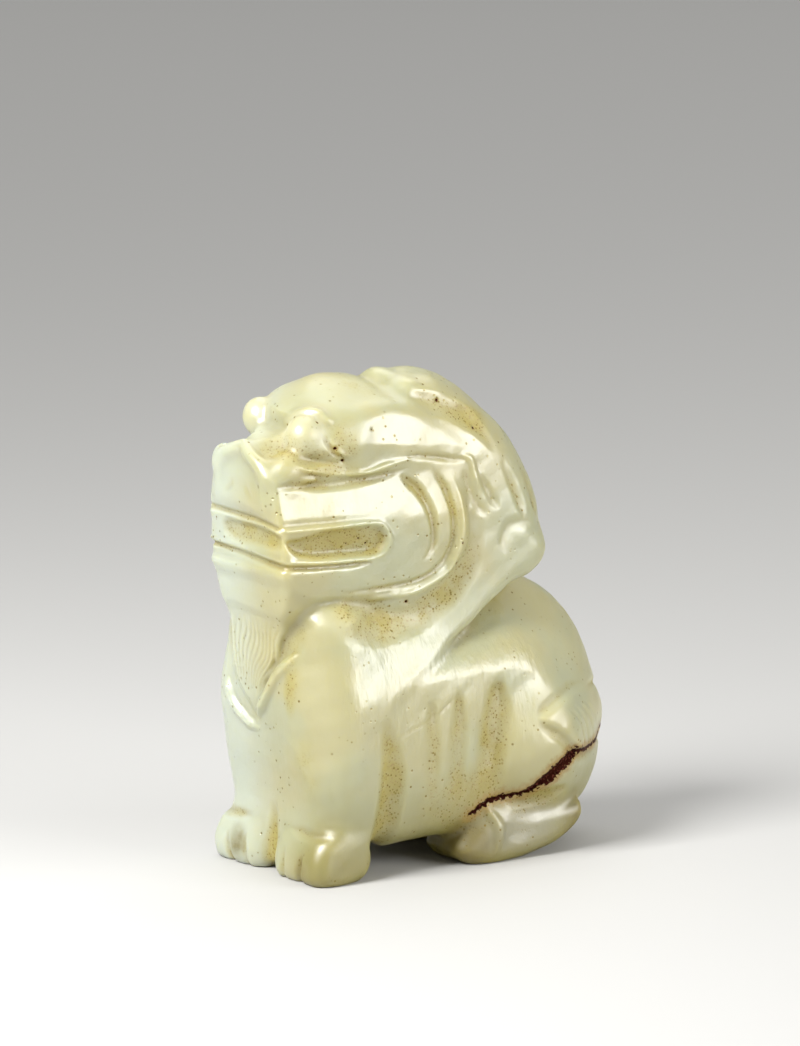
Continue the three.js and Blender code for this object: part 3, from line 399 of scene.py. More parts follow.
eye_bone_fillet = 1.2
brow_path = [
    (1.6, -0.7, 41.5), (2.1, -0.35, 42.0), (2.7, 0.0, 42.3), (3.3, 0.35, 42.4), (4.0, 0.8, 42.3),
    (4.8, 1.2, 41.8),
]
brow_radii = [0.25, 0.42, 0.5, 0.5, 0.42, 0.2]
brow_fillet = 0.6
upper_eye_fillet = 0.5
lower_eye_fillet = 1.4
right_eye_clearer = 0.5


def eye_bone(across, y, z):
    return lump(across, y, z, middle=(3.0, 3.2, 40.2), radii=(3.1, 3.6, 3.1))


def brow(across, y, z):
    return rod(across, y, z, brow_path, brow_radii)


def eyeball(across, y, z):
    return lump(across, y, z, middle=(3.55, -0.3, 40.8), radii=(1.75, 1.8, 1.85))


def eye_fillet(z, right_side):
    """The ball stands clear above and grows out of the cheek below. The right one stands clearer."""
    fillet = upper_eye_fillet + lower_eye_fillet * ease(z, 41.2, 39.4)
    return fillet * (1 - right_eye_clearer * right_side)


# The nose. A broad bridge runs down between the eyes, with a rolled edge at each side, and ends in
# two round nostrils, each with a short wing that runs back along the cheek.
nose_side = outline([
    (-4.8, 34), (-5.0, 36.5), (-4.95, 38.6), (-4.4, 39.7), (-2.4, 40.3), (-0.5, 40.8), (1, 41.0),
    (3, 39), (2, 35), (-2, 33),
])
nose_half_width = stations(
    (33, 4.2), (36, 4.3), (37.2, 4.0), (38.05, 3.2), (38.65, 2.2), (39.2, 1.2), (40, 0.5), (41, 0.3),
)
nose_tip_y = -4.6
bridge_length = 3.4
bridge_spread = 0.65
nose_corner = 0.6
nose_fillet = 0.9
nose_edge_path = [
    (0.1, -4.6, 39.8), (1.0, -4.8, 39.2), (2.2, -4.8, 38.6), (3.2, -4.75, 38.0), (3.6, -4.7, 37.2),
    (3.5, -4.7, 36.6),
]
nose_edge_radii = [0.35, 0.5, 0.55, 0.55, 0.45, 0.25]
nose_edge_fillet = 0.8
nostril_fillet = 1.7
right_nostril_forward = 1.2
right_nostril_lower = 0.5
right_nostril_clearer = 1.1
nostril_wing_path = [(4.4, -4.0, 36.9), (4.9, -2.4, 36.8), (5.4, -0.6, 37.0)]
nostril_wing_radii = [0.4, 0.42, 0.2]
nostril_wing_fillet = 0.4


def nose(across, y, z):
    spread = bridge_spread * np.clip(y - nose_tip_y, 0, bridge_length) * ease(z, 36.8, 38.3)
    return meet(nose_side(y, z), across - (nose_half_width(z) + spread), nose_corner)


def nose_edge(across, y, z):
    return rod(across, y, z, nose_edge_path, nose_edge_radii)


def nostril(across, y, z, right_side):
    """The right nostril stands a little forward of the left one, and lower."""
    y, z = y + right_nostril_forward * right_side, z + right_nostril_lower * right_side
    return lump(across, y, z, middle=(4.0, -2.7, 37.85), radii=(1.2, 1.3, 1.35))


def nostril_wing(across, y, z):
    return rod(across, y, z, nostril_wing_path, nostril_wing_radii)


# The horn. One broad horn starts from a knob on top of the head, with a small bud at each side of
# it, and lies back along the mane. It is ground from the same stone, as a long rounded roll.
horn_path = [(0, 11, 43.6), (0, 13.5, 43.4), (0, 16.5, 42.1), (0, 19.5, 39.7), (0, 21.5, 37.0)]
horn_radii = [1.4, 1.7, 1.9, 1.9, 1.6]
horn_fillet = 0.8
horn_bud_fillet = 0.4
horn_knob_fillet = 0.6


def horn(across, y, z):
    return rod(across, y, z, horn_path, horn_radii)


def horn_knob(across, y, z):
    knob = lump(across, y, z, middle=(0, 10.0, 43.9), radii=(2.1, 1.7, 1.6))
    bud = lump(across, y, z, middle=(2.9, 11.3, 43.8), radii=(0.8, 0.8, 0.7))
    return join(knob, bud, horn_bud_fillet)


# The curl. A lock of hair is rolled into a round ball at each lower corner of the mane, left
# standing when the stone around it was ground back.
curl_fillet = 0.5


def curl(across, y, z):
    return lump(across, y, z, middle=(5.3, 21.3, 29.4), radii=(1.35, 1.4, 1.5))


# The beard. A flat tongue of hair that hangs from the chin down the chest, and narrows to a point
# between the legs.
beard_side = outline([
    (-4.2, 28.8), (-4.1, 27), (-3.95, 25.5), (-3.7, 24), (-3.5, 22), (-3.5, 18), (-3.3, 15.8), (-2.9, 14.4),
    (-2, 14), (-1, 17), (0, 22), (1, 28),
])
beard_half_width = stations(
    (14.3, 0.2), (15.6, 1.1), (17.3, 2.2), (18.6, 3.0), (20.3, 3.9), (22, 4.3), (24, 5.0), (26, 5.8),
    (28.5, 6.2),
)
beard_lean = stations(
    (14.3, -0.6), (15.6, -1.0), (17.3, -1.5), (18.6, -1.35), (20.3, -0.9), (22, -0.6), (25, 0),
)
beard_slope = 0.8
beard_edge = 0.8
beard_fillet = 0.6


def beard(x, y, z):
    out = beard_slope * (np.abs(x - beard_lean(z)) - beard_half_width(z))
    return meet(beard_side(y, z), out, beard_edge)


# The mouth. A long slot sunk in from the front and round both cheeks, between lips that are each
# marked off by a ground line. Marks on the sides are drawn in Y and Z, on the front in X and Z.
fade_power = 0.7


def groove(path, half_width, depth, fade=(0, 0), sharpness=2.0, narrowest=0.35):
    """A ground line. A negative depth leaves a ridge standing. Its ends fade over shares of it."""
    line = smooth_path(path, closed=False)

    def fading(share, length):
        return np.clip(share / length, 0, 1) ** fade_power if length > 0 else 1.0

    def depth_at(u, v):
        gap, share = near_path(line, u, v)
        strength = fading(share, fade[0]) * fading(1 - share, fade[1])
        width = half_width * (narrowest + (1 - narrowest) * strength)
        return depth * strength * np.clip(1 - (gap / width) ** 2, 0, 1) ** sharpness

    return line.min(axis=0) - half_width, line.max(axis=0) + half_width, depth_at


def pool(points, wall, depth, lean=0.0):
    """A sunk field with sloping walls and a leaning floor. A negative depth stands proud."""
    path = smooth_path(points, closed=True)
    middle = path[:, 1].mean()

    def depth_at(u, v):
        gap = near_path(path, u, v)[0]
        inward = np.where(inside_path(path, u, v), gap, -gap)
        return (depth + lean * (middle - v)) * ease(0.5 + inward / wall, 0, 1)

    return path.min(axis=0) - wall, path.max(axis=0) + wall, depth_at


def draw_map(low, high, marks, step=0.06):
    """One map of the depth of every mark."""
    us = np.arange(low[0], high[0], step)
    vs = np.arange(low[1], high[1], step)
    depths = np.zeros((len(us), len(vs)), np.float32)
    for mark_low, mark_high, depth_at in marks:
        i, k = np.searchsorted(us, [mark_low[0], mark_high[0]])
        j, m = np.searchsorted(vs, [mark_low[1], mark_high[1]])
        u, v = np.meshgrid(us[i:k], vs[j:m], indexing="ij")
        depths[i:k, j:m] += depth_at(u, v)
    return read_map(low, step, depths)


side_marks = [
    pool([(-4.0, 31.8), (-2.0, 32.1), (0.2, 32.5), (2.4, 32.7), (4.9, 32.6), (5.7, 32.0), (5.7, 31.0),
          (4.9, 30.3), (3.0, 30.2), (-0.4, 30.2), (-2.0, 30.4), (-3.2, 30.8)],
         wall=0.8, depth=0.6, lean=0.22),
    groove([(-4.2, 32.8), (-2.0, 32.8), (1.4, 32.9), (4.7, 33.0), (5.9, 32.5), (6.4, 31.3), (5.8, 30.2),
            (4.6, 29.8)], half_width=0.32, depth=-0.22, fade=(0, 0.2)),
    groove([(-4.2, 30.0), (-0.9, 29.85), (1.9, 29.8), (4.6, 29.8)],
           half_width=0.3, depth=-0.15, fade=(0, 0.1)),
    groove([(-4.2, 29.5), (-0.9, 29.35), (2.2, 29.35), (4.6, 29.45)],
           half_width=0.35, depth=0.28, fade=(0, 0.2)),
    groove([(-4.2, 33.3), (0.5, 33.4), (4.8, 33.6)], half_width=0.4, depth=0.12, fade=(0, 0.5)),
]
front_marks = [
    pool([(-3.6, 31.5), (-3.0, 32.1), (-1.2, 32.3), (2.3, 32.5), (5.4, 32.3), (5.6, 31.7), (5.2, 31.2),
          (2.3, 30.9), (-1.2, 30.6), (-3.1, 30.9)], wall=0.9, depth=0.4),
    groove([(-6.6, 32.9), (-4.7, 33.0), (-0.9, 33.1), (2.6, 33.2), (6.4, 32.9)],
           half_width=0.4, depth=0.25),
    groove([(-6.6, 32.4), (-3, 32.7), (0, 32.75), (3, 32.9), (6.4, 32.5)], half_width=0.3, depth=-0.1),
    groove([(-6.6, 29.9), (-5.0, 29.95), (-1.5, 30.1), (2.1, 30.1), (6.4, 30.1)],
           half_width=0.3, depth=-0.15),
    groove([(-6.6, 29.4), (-5.0, 29.45), (-1.5, 29.5), (2.1, 29.5), (6.4, 29.5)],
           half_width=0.38, depth=0.28),
]


# The cheeks. A crescent is cut behind the mouth, a long groove and a ridge behind it follow the jaw
# round to the throat, and a low ridge runs under the eye with a groove along its foot.
side_marks += [
    groove([(8.1, 36.9), (9.1, 36.1), (9.9, 35.4), (10.8, 33.9), (11.2, 32.2), (11.1, 30.3), (9.9, 29.0)],
           half_width=0.7, depth=0.42, fade=(0.15, 0.5)),
    groove([(11.6, 37.2), (12.9, 35.3), (13.4, 33.4), (13.5, 32.0), (13.2, 30.1), (12.1, 28.6), (9.9, 27.4),
            (6.5, 26.9), (3.5, 26.8), (0.9, 26.7)], half_width=0.5, depth=0.28, fade=(0.1, 0.3)),
    groove([(13.6, 36.4), (14.3, 34.6), (14.5, 31.9), (14.1, 30.1), (13.5, 28.8), (12.7, 27.7), (11.0, 26.8),
            (9.3, 26.2), (7.0, 25.9), (4.2, 25.8)], half_width=0.5, depth=-0.25, fade=(0.3, 0.05)),
    groove([(-2.9, 38.7), (-1.3, 38.0), (0.1, 37.6), (1.5, 37.45), (3.0, 37.4), (4.9, 37.5), (6.3, 37.85),
            (8.9, 38.3), (10.5, 38.4)], half_width=0.38, depth=-0.25, fade=(0.15, 0.3)),
    groove([(-4.4, 36.5), (-2.8, 36.7), (0.6, 36.5), (3.4, 36.7), (6.8, 37.1), (9.0, 37.5)],
           half_width=0.65, depth=0.28, fade=(0.1, 0.3)),
    groove([(8.6, 38.6), (11, 38.4), (13.5, 37.9), (15.6, 37.6)],
           half_width=0.5, depth=0.22, fade=(0.2, 0.3)),
]


# The hair. A broad hollow parts the head from the neck, strands are cut at the nape and along the
# horn, a groove turns round each curl, and fine wavy lines run side by side down the beard.
side_marks += [
    groove([(0.5, 23.0), (3.5, 22.9), (7, 23.3), (10.5, 24.3), (13.4, 26.1), (15.4, 28.5), (16.2, 31.0),
            (16, 33)], half_width=1.9, depth=0.4, fade=(0.2, 0.4), sharpness=1.3),
    groove([(15.0, 38.2), (16.0, 37.6), (16.4, 36.0), (17.1, 34.4)],
           half_width=0.5, depth=-0.22, fade=(0.2, 0.4)),
    groove([(15.2, 36.9), (15.7, 34.9), (16.4, 33.6), (17.4, 32.4)],
           half_width=0.7, depth=0.18, fade=(0.3, 0.2)),
    groove([(16.9, 36.2), (17.9, 34.4), (18.9, 32.9)], half_width=0.7, depth=0.22, fade=(0.4, 0.2)),
    groove([(19.6, 37.2), (20.9, 34.3), (21.9, 31.7)], half_width=0.75, depth=0.25, fade=(0.4, 0.2)),
    groove([(22.2, 36.4), (23.2, 33.9), (23.8, 31.6)], half_width=0.6, depth=0.2, fade=(0.4, 0.2)),
    groove([(22.8, 31.2), (21.4, 31.5), (19.9, 31.2), (19.2, 29.9), (19.7, 28.5)],
           half_width=0.8, depth=0.16, fade=(0.2, 0.4)),
    groove([(11.2, 44.3), (13.4, 43.7), (15.0, 43.2), (17.5, 42.3), (19.1, 41.0)],
           half_width=0.8, depth=-0.15, fade=(0.2, 0.4)),
    groove([(10.5, 43.6), (13.6, 42.8), (16.4, 41.3), (17.9, 39.8), (19.0, 38.1)],
           half_width=1.2, depth=0.35, fade=(0.2, 0.4), sharpness=1.4),
]
strand_count = 12
strand_depth = 0.22
strand_wave = 0.35
strand_sharpness = 1.3
combed_share = 0.97


def beard_strands(x, z):
    """Lines ground down the beard, which draw together towards its point and fade out before it."""
    share = (x - beard_lean(z)) / beard_half_width(z)
    phase = (share + 1) / 2 * strand_count + strand_wave * np.sin(1.1 * z + 0.9 * x)
    line = (1 - np.abs(np.sin(math.pi * phase))) ** strand_sharpness
    combed = np.abs(share) < combed_share
    return strand_depth * line * ease(z, 24.5, 21.5) * ease(z, 16.0, 18.5) * combed


# The nostrils, chest, paws and ribs. Small hollows beside the nose, raised folds beside the beard,
# cuts between the toes, and long flutes down each flank for the ribs.
paired_front_marks = [
    groove([(1.2, 36.6), (1.2, 35.8), (2.3, 35.1)], half_width=0.5, depth=0.1, fade=(0.4, 0.4)),
    groove([(3.2, 4.7), (5.4, 4.5), (8.4, 4.3)], half_width=0.7, depth=0.22, fade=(0.3, 0.3)),
    groove([(3.2, 3.2), (3.2, 1.8), (3.0, 0)], half_width=0.55, depth=0.2, fade=(0.4, 0)),
    groove([(6.1, 2.9), (5.9, 1.6), (5.4, 0)], half_width=0.6, depth=0.28, fade=(0.4, 0)),
]
front_marks += [
    groove([(0, 6.5), (0, 3), (0, 0)], half_width=1.5, depth=0.5, fade=(0.6, 0)),
    pool([(-6.6, 24), (-5.9, 20), (-5.2, 17.0), (-4.3, 15.4), (-2.1, 14.0), (-0.7, 14.0), (0.7, 16.0),
          (2.3, 18.3), (4.6, 20.4), (5.4, 22.3), (5.0, 24)], wall=1.2, depth=0.18),
    groove([(5.0, 20.9), (3.9, 19.9), (2.4, 18.4), (0.8, 16.1), (-0.6, 14.3)],
           half_width=0.8, depth=-0.6, fade=(0.2, 0.2)),
    groove([(-5.4, 17.4), (-4.5, 15.2), (-2.3, 13.7), (-0.6, 13.3)],
           half_width=0.8, depth=-0.45, fade=(0.2, 0.2)),
]


def flute(front, back, depth):
    """A hollow ground down the flank between a soft front and a steep back, each given as (y, z)."""
    front_y = stations(*((z, y) for y, z in reversed(front)))
    back_y = stations(*((z, y) for y, z in reversed(back)))
    low, high = back[-1][1], back[0][1]

    def depth_at(u, v):
        share = (u - front_y(v)) / (back_y(v) - front_y(v))
        across = ease(share, -0.1, 0.6) * ease(share, 1.25, 0.75)
        along = ease(v, low, low + 0.5 * (high - low)) * ease(v, high + 0.3, high - 1.2)
        return depth * across * along

    left = min(y for y, z in front)
    right = max(y for y, z in back)
    return (left - 0.5, low), (right + 0.5, high + 0.5), depth_at


side_marks += [
    flute(front=[(9.1, 16.2), (8.5, 13), (8.4, 9.5), (8.8, 5.5)],
          back=[(9.9, 16.2), (10.3, 13), (10.4, 9.5), (10.4, 5.5)], depth=0.24),
    flute(front=[(12.1, 16.6), (11.3, 13), (11.0, 9.5), (11.3, 5.5)],
          back=[(12.9, 16.6), (13.3, 13), (13.1, 9.5), (12.9, 5.5)], depth=0.32),
    flute(front=[(16.3, 17.2), (14.7, 14), (14.1, 10), (14.4, 5.5)],
          back=[(17.6, 17.2), (18.0, 14), (17.3, 10), (16.7, 5.5)], depth=0.5),
    groove([(4.2, 15.0), (5.0, 12), (5.3, 8.5), (4.7, 4.5), (4.2, 1.6)],
           half_width=1.7, depth=0.55, fade=(0.4, 0.1), sharpness=1.4),
]


# The hind feet and tail. A hollow parts each foot from its haunch. The tail climbs the rump, turns
# over the left hip and ends there in a leaf shaped tuft, so the right hip is plain.
side_marks += [
    groove([(17.2, 6.1), (19.5, 5.7), (22.0, 5.8), (24.6, 6.4)],
           half_width=1.0, depth=0.35, fade=(0.3, 0.3), sharpness=1.4),
    groove([(15.4, 6.0), (16.3, 4.8), (17.0, 3.4), (16.9, 1.9), (16.5, 0.6)],
           half_width=0.9, depth=-0.36, fade=(0.5, 0.5)),
    groove([(18.6, 4.6), (19.4, 3.2), (19.6, 1.5)],
           half_width=2.0, depth=0.2, fade=(0.3, 0.3), sharpness=1.4),
]
tuft_marks = [
    pool([(21.0, 13.3), (23.2, 14.3), (26, 14.9), (29, 14.7), (32, 14), (32, 9.6), (29, 9.0), (26.4, 9.4),
          (24.8, 10.6), (22.9, 12.0)], wall=0.9, depth=-0.32),
    groove([(20.6, 13.5), (23.2, 14.9), (26, 15.4), (29, 15.2)],
           half_width=0.7, depth=0.2, fade=(0.1, 0.4)),
    groove([(20.6, 12.8), (22.6, 11.4), (24.6, 9.9), (26.4, 8.9), (29, 8.6)],
           half_width=0.8, depth=0.26, fade=(0.2, 0.3)),
]
tuft_start = 24.0
tuft_spacing = 1.2
for hair in range(4):
    start = tuft_start + tuft_spacing * hair
    tuft_marks.append(
        groove([(start, 13.9), (start + 1.6, 12.6), (start + 2.4, 10.9), (start + 2.5, 9.4)],
               half_width=0.32, depth=0.15, fade=(0.3, 0.3))
    )
tail_marks = [
    groove([(0.0, 1.5), (0.1, 5), (0.5, 8), (2.0, 10.9), (4.6, 12.0), (7.5, 12.1)],
           half_width=2.3, depth=-0.4, fade=(0, 0.3), sharpness=1.2),
    groove([(-2.0, 1.5), (-1.9, 5), (-1.5, 9), (0.4, 12.6), (3.4, 14.3), (7.0, 14.7)],
           half_width=0.5, depth=0.3, fade=(0, 0.2)),
    groove([(2.1, 1.5), (2.1, 5), (2.5, 7.6), (4.2, 9.2), (7.0, 9.4)],
           half_width=0.5, depth=0.3, fade=(0, 0.2)),
]


# The pits and slips. Grains broke out of the left side as it was ground, which left round pits, and
# the tool slipped twice, once beside the eye and once across the flank.
def pit(y, z, radius, depth=0.3):
    """A little hole where a grain broke out."""

    def depth_at(u, v):
        return depth * np.clip(1 - ((u - y) ** 2 + (v - z) ** 2) / radius ** 2, 0, 1)

    return (y - radius, z - radius), (y + radius, z + radius), depth_at


pit_places = [
    (1.4, 40.0, 0.22), (2.2, 38.7, 0.2), (13.6, 43.1, 0.2), (17.05, 40.4, 0.16), (13.9, 28.4, 0.16),
    (13.0, 27.6, 0.14), (14.3, 30.3, 0.13), (8.3, 25.2, 0.2), (0.3, 42.2, 0.1), (5.2, 41.5, 0.1),
    (3.4, 31.6, 0.12), (4.2, 31.1, 0.12), (2.2, 31.2, 0.1),
]
left_marks = [pit(y, z, radius) for y, z, radius in pit_places]
left_marks += [
    groove([(0.6, 41.2), (0.85, 40.3), (1.3, 39.5), (2.2, 38.9)],
           half_width=0.3, depth=0.2, fade=(0.2, 0.3)),
    groove([(1.1, 41.0), (1.3, 40.3), (1.9, 39.5), (2.9, 39.0)],
           half_width=0.3, depth=-0.16, fade=(0.2, 0.3)),
    groove([(5.1, 12.9), (9.5, 14.4), (11.9, 15.9), (13.3, 16.9)],
           half_width=0.18, depth=0.08, fade=(0.2, 0.2)),
]


# The fissure. A natural flaw runs down the left haunch, where weathered skin of the pebble reaches
# in. It is a hairline at both ends and broad and ragged in the middle, and iron has stained it.
fissure_line = smooth_path([
    (14.0, 4.7), (15.8, 5.7), (17.1, 6.1), (18.5, 6.1), (19.9, 6.4), (21.3, 7.3), (22.9, 8.5), (24.5, 9.4),
    (25.9, 9.6), (28.2, 9.5), (30.7, 9.9), (33.5, 10.6),
], closed=False)
fissure_half_width = stations(
    (0, 0.06), (0.1, 0.16), (0.25, 0.16), (0.35, 0.34), (0.45, 0.54), (0.55, 0.54), (0.62, 0.24),
    (0.75, 0.12), (1, 0.1),
)
fissure_depth = 0.4
raggedness = 0.35
floor_roughness = 0.4


def outside_fissure(u, v):
    """Distance from the ragged edge of the fissure, negative inside it."""
    gap, share = near_path(fissure_line, u, v)
    ragged = 0.5 * np.sin(7 * u + 4 * np.sin(5 * v)) + 0.5 * np.sin(11 * v - 3 * np.sin(9 * u))
    return gap - fissure_half_width(share) * (1 + raggedness * ragged)


def fissure_cut(u, v):
    rough = 1 + floor_roughness * np.sin(13 * u) * np.sin(15 * v + 2 * u)
    return fissure_depth * rough * ease(outside_fissure(u, v), 0.12, -0.3)


left_marks.append(((12, 3), (35, 13), fissure_cut))


# The whole stone. Every mass and mark is ground from one pebble, so they are joined into one depth
# and skinned as one closed mesh, which stands for the carving.
side_map = draw_map((-7, 0), (36, 47), side_marks)
front_map = draw_map((-12, -1), (12, 47), front_marks)
paired_front_map = draw_map((-1, -1), (12, 47), paired_front_marks)
tuft_map = draw_map((18, 4), (36, 20), tuft_marks)
left_map = draw_map((-7, 0), (36, 47), left_marks)
tail_map = draw_map((-9, 0), (9, 20), tail_marks)
head_lean = 0.07
eye_lean = 0.055
muzzle_front = -4.3
muzzle_slant = 0.07
chin_height = 29
soft_middle = 0.04
broad_ripple = 0.05
close_ripple = 0.025


def marks(x, across, y, z):
    """How deep the surface is marked at a place, on each side of the stone."""
    front_y = muzzle_front - muzzle_slant * (z - chin_height)
    past_corner = ease(across - muzzle_half_width(z) - front_y + y, -0.5, 0.5)
    on_muzzle = ease(z, 25.5, 26.5) * ease(y, 3, 0)
    front = ease(y, 1.5, -0.5) * (1 - on_muzzle * past_corner)
    side = ease(across, 2.5, 4.5) * (1 - on_muzzle * (1 - past_corner))
    depth = side_map(y, z) * side
    depth += (front_map(x, z) + paired_front_map(across, z)) * front
    depth += tuft_map(y, z) * ease(x, 4.5, 6.5) * ease(y, 31, 28.5)
    depth += left_map(y, z) * ease(x, 1.5, 3.5)
    depth += tail_map(x, z) * ease(y, 28.0, 30.5)
    return depth + beard_strands(x, z) * ease(y, -2.2, -2.8)


def hand_ripple(x, y, z):
    """The slight unevenness that grinding by hand leaves on every face."""
    broad = np.sin(0.83 * x + 1.9 * np.sin(0.41 * z)) * np.sin(0.71 * y + 0.52 * z)
    close = np.sin(1.9 * y - 1.3 * z + 1.2 * np.sin(0.9 * x)) * np.sin(1.6 * z + 1.1 * x)
    return broad_ripple * broad + close_ripple * close


def leaning_height(x, z):
    """The height that a place has on the leaning head. The brow leans a little more than the jaw."""
    return z + x * (head_lean * ease(z, 22, 28) + eye_lean * ease(z, 37, 41))


def stone(places):
    """The depth of places in the whole carving, in the carver's millimetres."""
    x, y, z = places.astype(np.float32).T
    across = np.sqrt(x * x + soft_middle)
    head_z = leaning_height(x, z)
    right_side = ease(-x, 0, 3)
    depth = trunk(across, y, z)
    for mass, fillet in [
        (haunch(across, y, z), haunch_fillet),
        (hind_foot(across, y, z), hind_foot_fillet),
        (chest(x, across, y, z), chest_fillet),
        (paw(across, y, z), paw_fillet),
        (mane(across, y, z), mane_fillet),
        (head(across, y, head_z), head_fillet),
        (crown(across, y, head_z), crown_fillet),
        (temple(across, y, head_z), temple_fillet),
        (eye_bone(across, y, head_z), eye_bone_fillet),
        (brow(across, y, z), brow_fillet),
        (eyeball(across, y, head_z), eye_fillet(head_z, right_side)),
        (nose(across, y, head_z), nose_fillet),
        (nose_edge(across, y, head_z), nose_edge_fillet),
        (nostril(across, y, head_z, right_side), nostril_fillet - right_nostril_clearer * right_side),
        (nostril_wing(across, y, head_z), nostril_wing_fillet),
        (horn(across, y, z), horn_fillet),
        (horn_knob(across, y, z), horn_knob_fillet),
        (curl(across, y, z), curl_fillet),
        (beard(x, y, z), beard_fillet),
    ]:
        depth = join(depth, mass, fillet)
    depth = depth + marks(x, across, y, head_z) + hand_ripple(x, y, z)
    return np.maximum(depth, -z)


block_low = np.array([-12.0, -8.0, -1.2])
block_high = np.array([12.0, 36.0, 48.0])
cell = 0.15
coarse = 4
batch = 400000
cell_corners = [(i, j, k) for i in (0, 1) for j in (0, 1) for k in (0, 1)]


def at_corner(grid, corner):
    """The part of a grid that holds this corner of every cell."""
    return grid[tuple(slice(step, size - 1 + step) for step, size in zip(corner, grid.shape))]


def depths_near_surface(solid):
    """Depths on a fine grid, exact near the surface and only roughly right away from it."""
    wide = cell * coarse
    count = np.ceil((block_high - block_low) / wide).astype(int) + 1
    places = block_low + wide * np.argwhere(np.ones(count, bool))
    rough = solid(places).reshape(count)
    near_surface = np.abs(rough) < 1.9 * wide + 1
    touched = np.zeros(count - 1, bool)
    fine_count = (count - 1) * coarse + 1
    needed = np.zeros(fine_count, bool)
    for corner in cell_corners:
        touched |= at_corner(near_surface, corner)
    blocks = touched.repeat(coarse, 0).repeat(coarse, 1).repeat(coarse, 2)
    for corner in cell_corners:
        at_corner(needed, corner)[blocks] = True
    fine = rough.repeat(coarse, 0).repeat(coarse, 1).repeat(coarse, 2)
    fine = fine[: fine_count[0], : fine_count[1], : fine_count[2]].astype(np.float32)
    places = block_low + cell * np.argwhere(needed)
    fine[needed] = np.concatenate([solid(places[i:i + batch]) for i in range(0, len(places), batch)])
    return fine


def skin(depths):
    """One point in each cell that the surface crosses, joined into four sided faces."""
    inside = depths < 0
    size = np.array(depths.shape)
    full = sum(at_corner(inside, corner).astype(np.int8) for corner in cell_corners)
    crossed = (full > 0) & (full < len(cell_corners))
    cells = np.argwhere(crossed)
    number = np.full(size - 1, -1)
    number[crossed] = np.arange(len(cells))
    total = np.zeros((len(cells), 3))
    hits = np.zeros(len(cells))
    for axis in range(3):
        for corner in cell_corners:
            if corner[axis] == 1:
                continue
            start = cells + corner
            end = start.copy()
            end[:, axis] += 1
            a = depths[tuple(start.T)].astype(float)
            b = depths[tuple(end.T)].astype(float)
            hit = (a < 0) != (b < 0)
            place = np.array(corner, float) + np.zeros((len(cells), 3))
            place[:, axis] += np.where(hit, a / np.where(hit, a - b, 1), 0)
            total += place * hit[:, None]
            hits += hit
    points = block_low + (cells + total / hits[:, None]) * cell
    faces = []
    for axis in range(3):
        side, other = (axis + 1) % 3, (axis + 2) % 3
        first = inside.take(range(size[axis] - 1), axis)
        second = inside.take(range(1, size[axis]), axis)
        edge = np.argwhere(first != second)
        outward = first[tuple(edge.T)]
        ring = []
        for step_side, step_other in ((-1, -1), (0, -1), (0, 0), (-1, 0)):
            corner = edge.copy()
            corner[:, side] += step_side
            corner[:, other] += step_other
            ring.append(number[tuple(corner.T)])
        ring = np.stack(ring, 1)
        ring[~outward] = ring[~outward][:, ::-1]
        faces.append(ring)
    return points, np.concatenate(faces)


def slope(solid, points, reach=0.02):
    """The direction and rate in which depth grows at each point."""
    sides = []
    for axis in range(3):
        shift = np.zeros(3)
        shift[axis] = reach
        sides.append((solid(points + shift) - solid(points - shift)) / (2 * reach))
    return np.stack(sides, 1).astype(float)


least_steep = 0.05


def settle(solid, points):
    """Draws points onto the true surface, by a cell at most."""
    steep = slope(solid, points)
    move = steep * (solid(points) / np.maximum((steep ** 2).sum(1), least_steep))[:, None]
    length = np.linalg.norm(move, axis=1)
    return points - move * np.minimum(1, cell / np.maximum(length, tiny))[:, None]


def wear(points, faces, rubs):
    """Rubs sharp edges soft, as years of handling do: each point moves half way to its neighbours."""
    starts = faces.ravel()
    ends = np.roll(faces, -1, axis=1).ravel()
    count = np.bincount(starts, minlength=len(points))[:, None]
    for _ in range(rubs):
        around = np.stack([np.bincount(starts, points[ends, axis], len(points)) for axis in range(3)], 1)
        points = points + 0.5 * (around / count - points)
    return points


worn_length = 0.6
points, faces = skin(depths_near_surface(stone))
points = wear(settle(stone, settle(stone, points)), faces, rubs=round(worn_length / cell))
points[:, 2] = np.maximum(points[:, 2], 0)
carving_mesh = bpy.data.meshes.new("jade_beast")
carving_mesh.from_pydata([], [], [])
carving_mesh.vertices.add(len(points))
carving_mesh.vertices.foreach_set("co", ((points + (0, paws_y, 0)) * MM).ravel())
carving_mesh.loops.add(faces.size)
carving_mesh.loops.foreach_set("vertex_index", faces.ravel())
carving_mesh.polygons.add(len(faces))
carving_mesh.polygons.foreach_set("loop_start", np.arange(len(faces)) * 4)
carving_mesh.update()
carving_mesh.validate()
carving = bpy.data.objects.new("jade_beast", carving_mesh)
bpy.context.scene.collection.objects.link(carving)

triangle_budget = 196000
if 2 * len(faces) > triangle_budget:
    thinning = carving.modifiers.new("thinning", "DECIMATE")
    thinning.ratio = triangle_budget / (2 * len(faces))
    graph = bpy.context.evaluated_depsgraph_get()
    thinned = bpy.data.meshes.new_from_object(carving.evaluated_get(graph))
    carving.modifiers.clear()
    carving.data = thinned
    bpy.data.meshes.remove(carving_mesh)
    carving_mesh = thinned
carving_mesh.name = "jade_beast"
carving_mesh.shade_smooth()
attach(carving, "root")
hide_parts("carving")


# How the stone wore, and where light is painted. Dirt and tan stain stay where a hand can't rub: in
# cuts, and where masses meet. Each point of the mesh is told how hollow the stone is around it, which
# stains lie there, and where painted shade and painted sheen go.
co = np.zeros(len(carving_mesh.vertices) * 3)
carving_mesh.vertices.foreach_get("co", co)
settled = co.reshape(-1, 3) / MM - (0, paws_y, 0)
outward = slope(stone, settled)
outward /= np.maximum(np.linalg.norm(outward, axis=1), tiny)[:, None]


